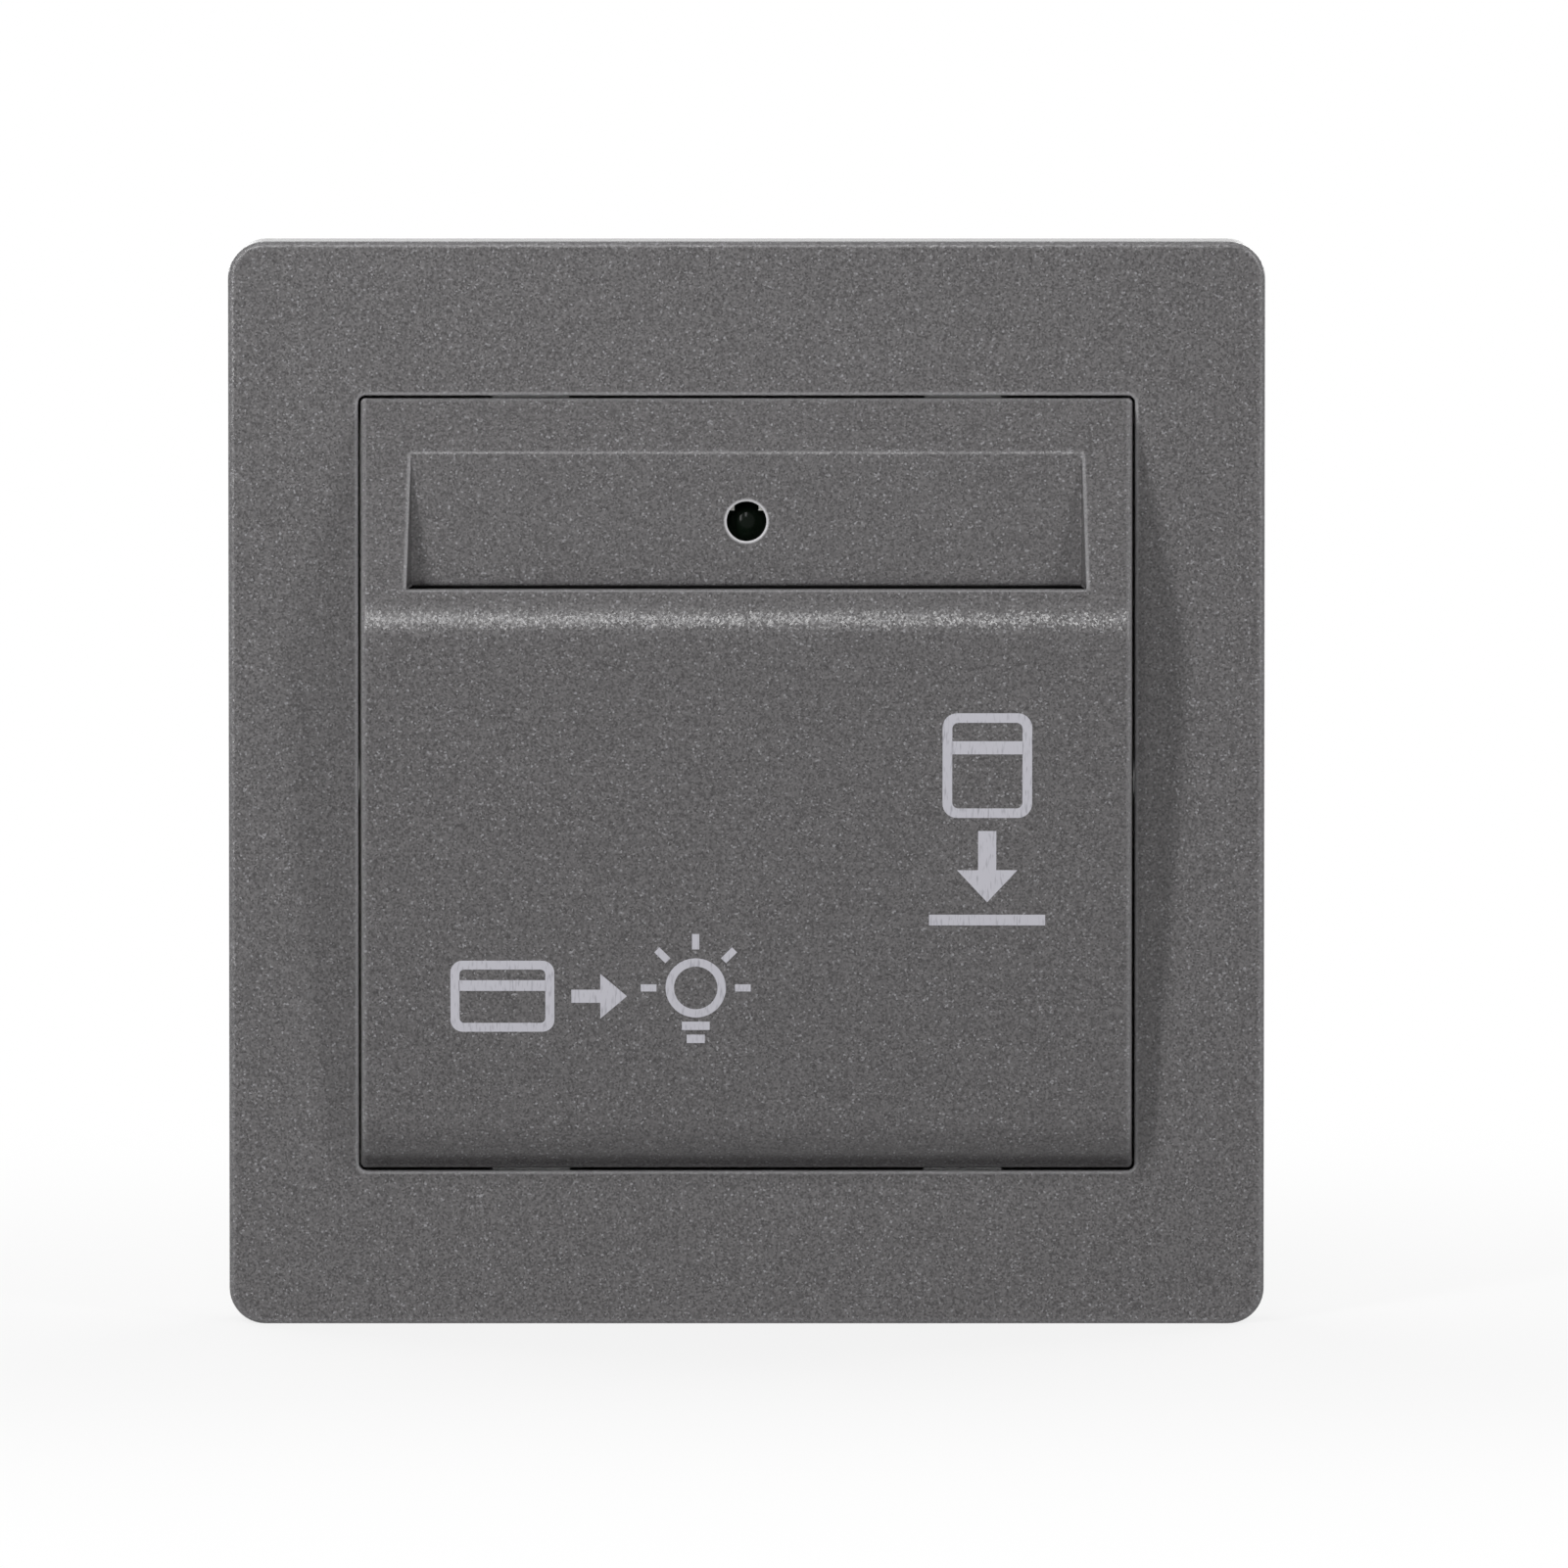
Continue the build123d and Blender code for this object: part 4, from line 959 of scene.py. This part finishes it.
@dataclass
class PrintedSign:
    """A flat printed pictogram on the cover's front, made of filled figures."""

    name: str
    x_mm: float
    z_mm: float
    figures: Sequence[Figure]
    proud_mm: float = 0.02
    sunk_mm: float = 0.05
    slope_reach_mm: float = 6.0

    def cut_out(self, figure: Figure) -> bpy.types.Mesh:
        """Fill one figure.

        Args:
            figure: The figure.

        Returns:
            A thin flat slab, its print side towards +Z.
        """
        curve = bpy.data.curves.new(self.name, "CURVE")
        curve.dimensions = "2D"
        curve.fill_mode = "BOTH"
        curve.extrude = (self.proud_mm + self.sunk_mm) / 2 * MM
        for loop in figure.loops():
            spline = curve.splines.new("POLY")
            spline.points.add(len(loop) - 1)
            for point, (x, y) in zip(spline.points, loop):
                point.co = (x * MM, y * MM, 0.0, 1.0)
            spline.use_cyclic_u = True
        carrier = bpy.data.objects.new(self.name, curve)
        mesh = bpy.data.meshes.new_from_object(carrier)
        bpy.data.objects.remove(carrier)
        return mesh

    def build(self, probe: FaceProbe) -> None:
        """Print the sign on the face that the probe finds.

        Args:
            probe: The probe of the cover's front.
        """
        points: list[Vector] = []
        faces: list[list[int]] = []
        for figure in self.figures:
            slab = self.cut_out(figure)
            faces += [[index + len(points) for index in face.vertices] for face in slab.polygons]
            points += [vertex.co.copy() for vertex in slab.vertices]
        mesh = bpy.data.meshes.new(self.name)
        mesh.from_pydata(points, [], faces)
        patch = probe.patch(self.x_mm * MM, self.z_mm * MM, self.slope_reach_mm * MM)
        lift = Matrix.Translation((0, 0, (self.proud_mm - self.sunk_mm) / 2 * MM))
        mesh.transform(patch @ lift)
        mesh.materials.append(SIGN_INK.material())
        add_piece(self.name, mesh, "front_cover")


@dataclass
class FrontCover:
    """The wedge-shaped module with its card pocket, its screws and its printed signs."""

    screws: ScrewSet = field(default_factory=lambda: ScrewSet(
        "chute_screws", "front_cover", Way.WALL, Drive.CROSS, ScrewSize(1.9, 0.9, 1.0, 3.95, 0.45, 0.6)))
    signs: tuple[PrintedSign, ...] = (
        PrintedSign("insert_card_sign", 19.9, -2.6, CARD_GOES_IN),
        PrintedSign("light_comes_on_sign", -12.6, -17.3, LIGHT_COMES_ON),
    )

    def build(self) -> None:
        """Dress the shells, remake the screws and print the signs."""
        dress(GRAPHITE, "card_cover")
        dress(BLACK_ABS, "card_chute")
        self.screws.build()
        probe = FaceProbe("card_cover")
        for sign in self.signs:
            sign.build(probe)


@dataclass
class WallParts:
    """The decor panel and the frame that the wall screws hold."""

    def build(self) -> None:
        """Dress both."""
        dress(GRAPHITE, "decor_frame")
        dress(WHITE_PC, "mounting_frame")


@dataclass
class RearBox:
    """The housing behind the wall with its lid and the lid's screws."""

    screws: ScrewSet = field(default_factory=lambda: ScrewSet(
        "lid_screws", "base", Way.ROOM, Drive.CROSS, ScrewSize(2.0, 0.5, 1.1, 10.05, 0.5, 0.4)))

    def build(self) -> None:
        """Dress the housing and the lid and remake the screws."""
        dress(WHITE_PC, "rear_housing", "inner_lid")
        self.screws.build()


def lathe(profile: Sequence[Point], axis: Vector, start: Vector, sides: int = 48,
          smooth_below: float = 35.0) -> bpy.types.Mesh:
    """Turn a profile about an axis.

    Args:
        profile: Points as (distance along the axis, radius) in millimetres, ends at radius zero.
        axis: The direction of the axis, of length 1.
        start: The axis' first point, in metres.
        sides: How many sides the round has.
        smooth_below: Edges flatter than this, in degrees, are shaded smooth.

    Returns:
        A closed mesh.
    """
    across = axis.orthogonal().normalized()
    beside = axis.cross(across)
    verts = [start + axis * profile[0][0] * MM, start + axis * profile[-1][0] * MM]
    rings = []
    for along, radius in profile[1:-1]:
        rings.append(len(verts))
        for i in range(sides):
            angle = FULL_TURN * i / sides
            radial = across * math.cos(angle) + beside * math.sin(angle)
            verts.append(start + (axis * along + radial * radius) * MM)
    faces = []
    for i in range(sides):
        j = (i + 1) % sides
        faces.append((0, rings[0] + j, rings[0] + i))
        faces.append((1, rings[-1] + i, rings[-1] + j))
        for low, high in zip(rings, rings[1:]):
            faces.append((low + i, low + j, high + j, high + i))
    mesh = bpy.data.meshes.new("turned")
    mesh.from_pydata([tuple(v) for v in verts], [], faces)
    mesh.shade_smooth()
    mesh.set_sharp_from_angle(angle=math.radians(smooth_below))
    return mesh


@dataclass
class LeverWorks:
    """The lever that the card pushes, with its pin, spring and microswitch."""

    spring_turns: float = 8.0
    turn_steps: int = 28
    spring_radius_mm: float = 1.4
    wire_radius_mm: float = 0.2
    wire_sides: int = 12
    end_pitch_share: float = 0.35
    kept_share: float = 0.69
    smooth_below: float = 50.0

    def build(self) -> None:
        """Dress the moving parts and wind the spring."""
        dress(BLACK_ABS, "card_lever", "microswitch_case")
        dress(ZINC_STEEL, "lever_pin")
        dress(RED_POM, "switch_plunger")
        dress(TINNED_BRASS, "microswitch_terminals")
        self.wind_spring()

    def spring_tree(self, height: float) -> GeometryTree:
        """Build the tree of a compression spring whose end turns lie closer together.

        Args:
            height: The height of the wire's middle line, in metres.

        Returns:
            The tree; before it is turned, the spring stands along +Z.
        """
        made = GeometryTree("lever_spring_tree", ZINC_STEEL, {
            "Coil Radius": self.spring_radius_mm * MM, "Wire Radius": self.wire_radius_mm * MM,
            "Height": height, "Rotations": self.spring_turns, "Closing Share": 1 - self.end_pitch_share})
        math_node = partial(made.add, "ShaderNodeMath")
        helix = made.add("GeometryNodeCurveSpiral", {
            "Rotations": made["Rotations"], "Start Radius": made["Coil Radius"],
            "End Radius": made["Coil Radius"], "Height": made["Height"], "Resolution": self.turn_steps})
        along = made.add("GeometryNodeSplineParameter")
        phase = math_node({0: along, 1: FULL_TURN}, operation="MULTIPLY")
        wave = math_node({0: phase}, operation="SINE")
        closing = math_node({0: wave, 1: made["Closing Share"]}, operation="MULTIPLY")
        most = math_node({0: made["Height"], 1: -FULL_TURN}, operation="DIVIDE")
        shift = math_node({0: closing, 1: most}, operation="MULTIPLY")
        pulled = made.add("GeometryNodeSetPosition", {
            "Geometry": helix, "Offset": made.add("ShaderNodeCombineXYZ", {"Z": shift})})
        wire = made.add("GeometryNodeCurvePrimitiveCircle", {
            "Radius": made["Wire Radius"], "Resolution": self.wire_sides})
        coil = made.add("GeometryNodeCurveToMesh", {
            "Curve": pulled, "Profile Curve": wire, "Fill Caps": True})
        made.close(coil, Way.ROOM.value, self.smooth_below)
        return made

    def wind_spring(self) -> None:
        """Replace the CAD spring by the wound one."""
        low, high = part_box("lever_spring")
        wire = self.wire_radius_mm * MM
        foot = Vector(((low.x + high.x) / 2, high.y - wire, (low.z + high.z) / 2))
        mesh = self.spring_tree(high.y - low.y - 2 * wire).run([foot])
        spring = add_piece("lever_spring_wound", mesh, "base", ["lever_spring"])
        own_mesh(spring)


@dataclass
class Indicator:
    """The lens holder and the dark lens behind the round window."""

    lens_radius_mm: float = 2.45
    flange_radius_mm: float = 2.8
    flange_height_mm: float = 1.0
    dome_steps: int = 12

    def build(self) -> None:
        """Dress the holder and turn the domed lens."""
        dress(WHITE_PC, "led_holder")
        dress(TINNED_BRASS, "led_leads")
        low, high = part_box("indicator_led")
        foot = Vector(((low.x + high.x) / 2, high.y, (low.z + high.z) / 2))
        length = (high.y - low.y) / MM
        radius = self.lens_radius_mm
        profile: Loop = [(0.0, 0.0), (0.0, self.flange_radius_mm),
                         (self.flange_height_mm, self.flange_radius_mm), (self.flange_height_mm, radius)]
        for step in range(self.dome_steps):
            angle = math.pi / 2 * step / self.dome_steps
            profile.append((length - radius + radius * math.sin(angle), radius * math.cos(angle)))
        profile.append((length, 0.0))
        mesh = lathe(profile, Vector((0, -1, 0)), foot)
        mesh.materials.append(SMOKED_LENS.material())
        add_piece("indicator_lens", mesh, "base", ["indicator_led"])


@dataclass
class TerminalRow:
    """The terminal block with its clamps, screws and pins."""

    screws: ScrewSet = field(default_factory=lambda: ScrewSet(
        "terminal_screws", "base", Way.DOWN, Drive.SLOT,
        ScrewSize(2.2, 1.2, 1.3, 1.45, 0.6, 0.5, thread_pitch=0.5, point_length=0.3)))

    def build(self) -> None:
        """Dress the block, its clamps and pins and remake the screws."""
        dress(GREEN_PA, "terminal_block")
        dress(ZINC_STEEL, "wire_clamps")
        dress(TINNED_BRASS, "terminal_pins")
        self.screws.build()


@dataclass(frozen=True)
class SolderJoints:
    """The solder fillets round one node's pins, where they leave the board."""

    node: str
    way: Way
    foot_radius_mm: float
    top_radius_mm: float
    height_mm: float
    waist_share: float = 0.42
    waist_height_share: float = 0.4
    sides: int = 24
    smooth_below: float = 60.0

    def tree(self) -> GeometryTree:
        """Build the tree that makes one concave fillet on each point.

        Returns:
            The tree; before it is turned, the pin comes up through the fillet along +Z.
        """
        made = GeometryTree(f"{self.node}_solder_tree", SOLDER, {
            "Foot Radius": self.foot_radius_mm * MM, "Top Radius": self.top_radius_mm * MM,
            "Height": self.height_mm * MM})
        math_node = partial(made.add, "ShaderNodeMath")
        both = math_node({0: made["Foot Radius"], 1: made["Top Radius"]}, operation="ADD")
        waist = math_node({0: both, 1: self.waist_share}, operation="MULTIPLY")
        waist_height = math_node({0: made["Height"], 1: self.waist_height_share}, operation="MULTIPLY")
        rest = math_node({0: made["Height"], 1: waist_height}, operation="SUBTRACT")
        lower = made.add("GeometryNodeMeshCone", {
            "Radius Bottom": made["Foot Radius"], "Radius Top": waist, "Depth": waist_height,
            "Vertices": self.sides})
        upper = made.add("GeometryNodeMeshCone", {
            "Radius Bottom": waist, "Radius Top": made["Top Radius"], "Depth": rest, "Vertices": self.sides})
        fillet = made.add("GeometryNodeMeshBoolean", {"Mesh 2": [lower, made.lift(upper, waist_height)]},
                          operation="UNION", solver="EXACT")
        made.close(fillet, self.way.value, self.smooth_below)
        return made

    def build(self) -> None:
        """Run a fillet round each pin, on the face of the board that the pins come out of."""
        low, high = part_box("main_board")
        face = low.y if self.way is Way.ROOM else high.y
        mesh = self.tree().run([Vector((pin.x, face, pin.z)) for pin in node_middles(self.node)])
        add_piece(f"{self.node}_solder", mesh, "base")


@dataclass
class ControlBoard:
    """The circuit board and what is soldered to it."""

    screws: ScrewSet = field(default_factory=lambda: ScrewSet(
        "board_screws", "base", Way.ROOM, Drive.CROSS, ScrewSize(2.1, 1.4, 1.1, 7.55, 0.5, 0.9)))
    joints: tuple[SolderJoints, ...] = (
        SolderJoints("terminal_pins", Way.ROOM, 1.3, 0.75, 0.8),
        SolderJoints("microswitch_terminals", Way.WALL, 1.1, 0.7, 0.8),
        SolderJoints("led_leads", Way.WALL, 0.8, 0.35, 0.7),
    )
    band_places_mm: tuple[float, ...] = (-1.4, -0.5, 0.4, 1.4)
    band_radius_mm: float = 1.17
    band_width_mm: float = 0.45
    band_sides: int = 32
    smooth_below: float = 30.0

    def paint_bands(self) -> None:
        """Paint four bands round each resistor."""
        made = GeometryTree("resistor_bands_tree", BAND_PAINT, {
            "Band Radius": self.band_radius_mm * MM, "Band Width": self.band_width_mm * MM})
        band = made.add("GeometryNodeMeshCylinder", {
            "Radius": made["Band Radius"], "Depth": made["Band Width"], "Vertices": self.band_sides})
        made.close(band, (0.0, math.pi / 2, 0.0), self.smooth_below)
        mesh = made.run([middle + Vector((shift * MM, 0.0, 0.0))
                         for middle in node_middles("resistors") for shift in self.band_places_mm])
        add_piece("resistor_bands", mesh, "base")

    def build(self) -> None:
        """Solder the pins, paint the resistors' bands, dress the board's parts and remake the screws."""
        for joint in self.joints:
            joint.build()
        self.paint_bands()
        dress(LAMINATE, "main_board")
        dress(BLUE_PBT, "power_relay")
        dress(YELLOW_PP, "mains_capacitor")
        dress(PVC_SLEEVE, "smoothing_capacitor")
        dress(DIPPED_EPOXY, "varistor")
        dress(BLACK_EPOXY, "bridge_rectifier", "timer_chip", "board_fuse")
        dress(LACQUERED_CERAMIC, "resistors")
        self.screws.build()


@dataclass
class Lamp:
    """A white softbox round the middle of the front: angles in degrees, sizes in metres, power in watts."""

    name: str
    azimuth: float
    elevation: float
    distance: float
    width: float
    height: float
    power: float


@dataclass
class Studio:
    """Floor, light and the camera at the photograph's angle."""

    photo_px: int = 1601
    panel_px_per_mm: float = 12.3
    panel_middle_px: Point = (762.3, 800.0)
    camera_distance: float = 1.6
    camera_elevation: float = 3.3
    sensor_mm: float = 36.0
    floor_radius: float = 4.0
    floor_sides: int = 64
    floor_as_light: str = "7C7C7C"
    floor_as_seen: str = "E8E8E8"
    shadow_radius: float = 0.25
    veil: float = 0.8
    ambient: float = 0.02
    lamps: tuple[Lamp, ...] = (
        Lamp("left_softbox", -24.0, 22.0, 0.5, 0.06, 0.4, 1.36),
        Lamp("right_softbox", 34.0, 20.0, 0.8, 0.1, 0.5, 1.7),
        Lamp("front_softbox", -3.0, 24.0, 0.7, 0.08, 0.2, 0.95),
        Lamp("rear_left_softbox", -150.0, 25.0, 0.6, 0.4, 0.4, 2.0),
        Lamp("rear_right_softbox", 150.0, 25.0, 0.6, 0.4, 0.4, 2.0),
    )

    def build(self) -> None:
        """Set up everything that isn't part of the object."""
        scene = bpy.context.scene
        scene.view_settings.view_transform = "Standard"
        front = Vector((0.0, CAD_BOX[0].y, 0.0))
        for lamp in self.lamps:
            self.hang(lamp, front)
        self.lay_floor()
        self.light_world()
        scene.camera = self.set_camera()

    def set_camera(self) -> bpy.types.Object:
        """Set up the camera, which sees the panel where the photograph has it.

        Returns:
            The camera.
        """
        panel_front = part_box("decor_frame")[0].y
        middle = self.photo_px / 2
        right = (middle - self.panel_middle_px[0]) / self.panel_px_per_mm * MM
        down = (middle - self.panel_middle_px[1]) / self.panel_px_per_mm * MM
        target = Vector((right, panel_front, -down))
        rise = math.radians(self.camera_elevation)
        back = Vector((0.0, -math.cos(rise), math.sin(rise)))
        data = bpy.data.cameras.new("photo_camera")
        data.sensor_width = self.sensor_mm
        frame_width = self.photo_px / self.panel_px_per_mm * MM
        data.lens = self.sensor_mm * self.camera_distance / frame_width
        camera = bpy.data.objects.new("photo_camera", data)
        camera.location = target + back * self.camera_distance
        camera.rotation_euler = (-back).to_track_quat("-Z", "Y").to_euler()
        bpy.context.scene.collection.objects.link(camera)
        return camera

    def hang(self, lamp: Lamp, target: Vector) -> None:
        """Hang one lamp and aim it.

        Args:
            lamp: The lamp; azimuth 0 is in front of the object and grows to the right.
            target: The point that it faces.
        """
        turn, rise = math.radians(lamp.azimuth), math.radians(lamp.elevation)
        away = Vector((math.sin(turn) * math.cos(rise), -math.cos(turn) * math.cos(rise), math.sin(rise)))
        data = bpy.data.lights.new(lamp.name, "AREA")
        data.shape = "RECTANGLE"
        data.size = lamp.width
        data.size_y = lamp.height
        data.energy = lamp.power
        light = bpy.data.objects.new(lamp.name, data)
        light.location = target + away * lamp.distance
        light.rotation_euler = (-away).to_track_quat("-Z", "Y").to_euler()
        light.visible_camera = False
        bpy.context.scene.collection.objects.link(light)

    def seen_directly(self, tree: bpy.types.NodeTree) -> Socket:
        """Tell the rays that look at a surface from those that it lights.

        Args:
            tree: The tree that needs to know.

        Returns:
            A socket that is 1 for rays from the eye, from gloss and through glass.
        """
        path = add_node(tree, "ShaderNodeLightPath").outputs
        eye_or_gloss = add_node(tree, "ShaderNodeMath", {0: path["Is Camera Ray"], 1: path["Is Glossy Ray"]},
                                operation="MAXIMUM").outputs[0]
        return add_node(tree, "ShaderNodeMath", {0: eye_or_gloss, 1: path["Is Transmission Ray"]},
                        operation="MAXIMUM").outputs[0]

    def light_world(self) -> None:
        """Make the surroundings white to look at and dim as a light."""
        world = bpy.data.worlds.new("white_surroundings")
        world.use_nodes = True
        tree = world.node_tree
        tree.nodes.clear()
        strength = add_node(tree, "ShaderNodeMapRange", {
            "Value": self.seen_directly(tree), "To Min": self.ambient, "To Max": 1.0})
        light = add_node(tree, "ShaderNodeBackground", {
            "Color": (1.0, 1.0, 1.0, 1.0), "Strength": strength.outputs["Result"]})
        add_node(tree, "ShaderNodeOutputWorld", {"Surface": light.outputs["Background"]})
        bpy.context.scene.world = world

    def paper(self) -> bpy.types.Material:
        """Make the floor's matt white paper, which fades into the white surroundings away from the object.

        Returns:
            The material.
        """
        made = bpy.data.materials.new("matt_white_paper")
        made.use_nodes = True
        tree = made.node_tree
        tree.nodes.clear()
        add = partial(add_node, tree)
        seen = self.seen_directly(tree)
        shade = add("ShaderNodeMix", {
            "Factor": seen, "A": linear(self.floor_as_light), "B": linear(self.floor_as_seen)},
            data_type="RGBA")
        matt = add("ShaderNodeBsdfDiffuse", {"Color": shade.outputs["Result"]})
        glow = add("ShaderNodeEmission", {"Strength": 1.0})
        place = add("ShaderNodeTexCoord").outputs["Object"]
        away = add("ShaderNodeVectorMath", {0: place}, operation="LENGTH").outputs["Value"]
        fading = add("ShaderNodeMapRange", {
            "Value": away, "From Max": self.shadow_radius, "To Min": self.veil, "To Max": 1.0},
            interpolation_type="SMOOTHSTEP")
        veil = add("ShaderNodeMath", {0: seen, 1: fading.outputs["Result"]}, operation="MULTIPLY")
        mixed = add("ShaderNodeMixShader", {0: veil.outputs[0], 1: matt.outputs[0], 2: glow.outputs[0]})
        add("ShaderNodeOutputMaterial", {"Surface": mixed.outputs[0]})
        return made

    def lay_floor(self) -> None:
        """Lay the pale floor under the object's lowest edge; it keeps the object's shadow."""
        rim = arc_points(0.0, 0.0, self.floor_radius, 0, 360 - 360 / self.floor_sides, self.floor_sides - 1)
        mesh = bpy.data.meshes.new("studio_floor")
        mesh.from_pydata([(x, y, CAD_BOX[0].z) for x, y in rim], [], [tuple(range(self.floor_sides))])
        mesh.materials.append(self.paper())
        floor = bpy.data.objects.new("studio_floor", mesh)
        bpy.context.scene.collection.objects.link(floor)


def main() -> None:
    """Build the sub-assemblies in order, then the studio."""
    logging.basicConfig(level=logging.INFO, format="%(message)s")
    assemblies = (
        FrontCover(), WallParts(), RearBox(), LeverWorks(), Indicator(), TerminalRow(), ControlBoard())
    for assembly in assemblies:
        LOG.info("building %s", type(assembly).__name__)
        assembly.build()
    Studio().build()


if __name__ == "__main__":
    main()
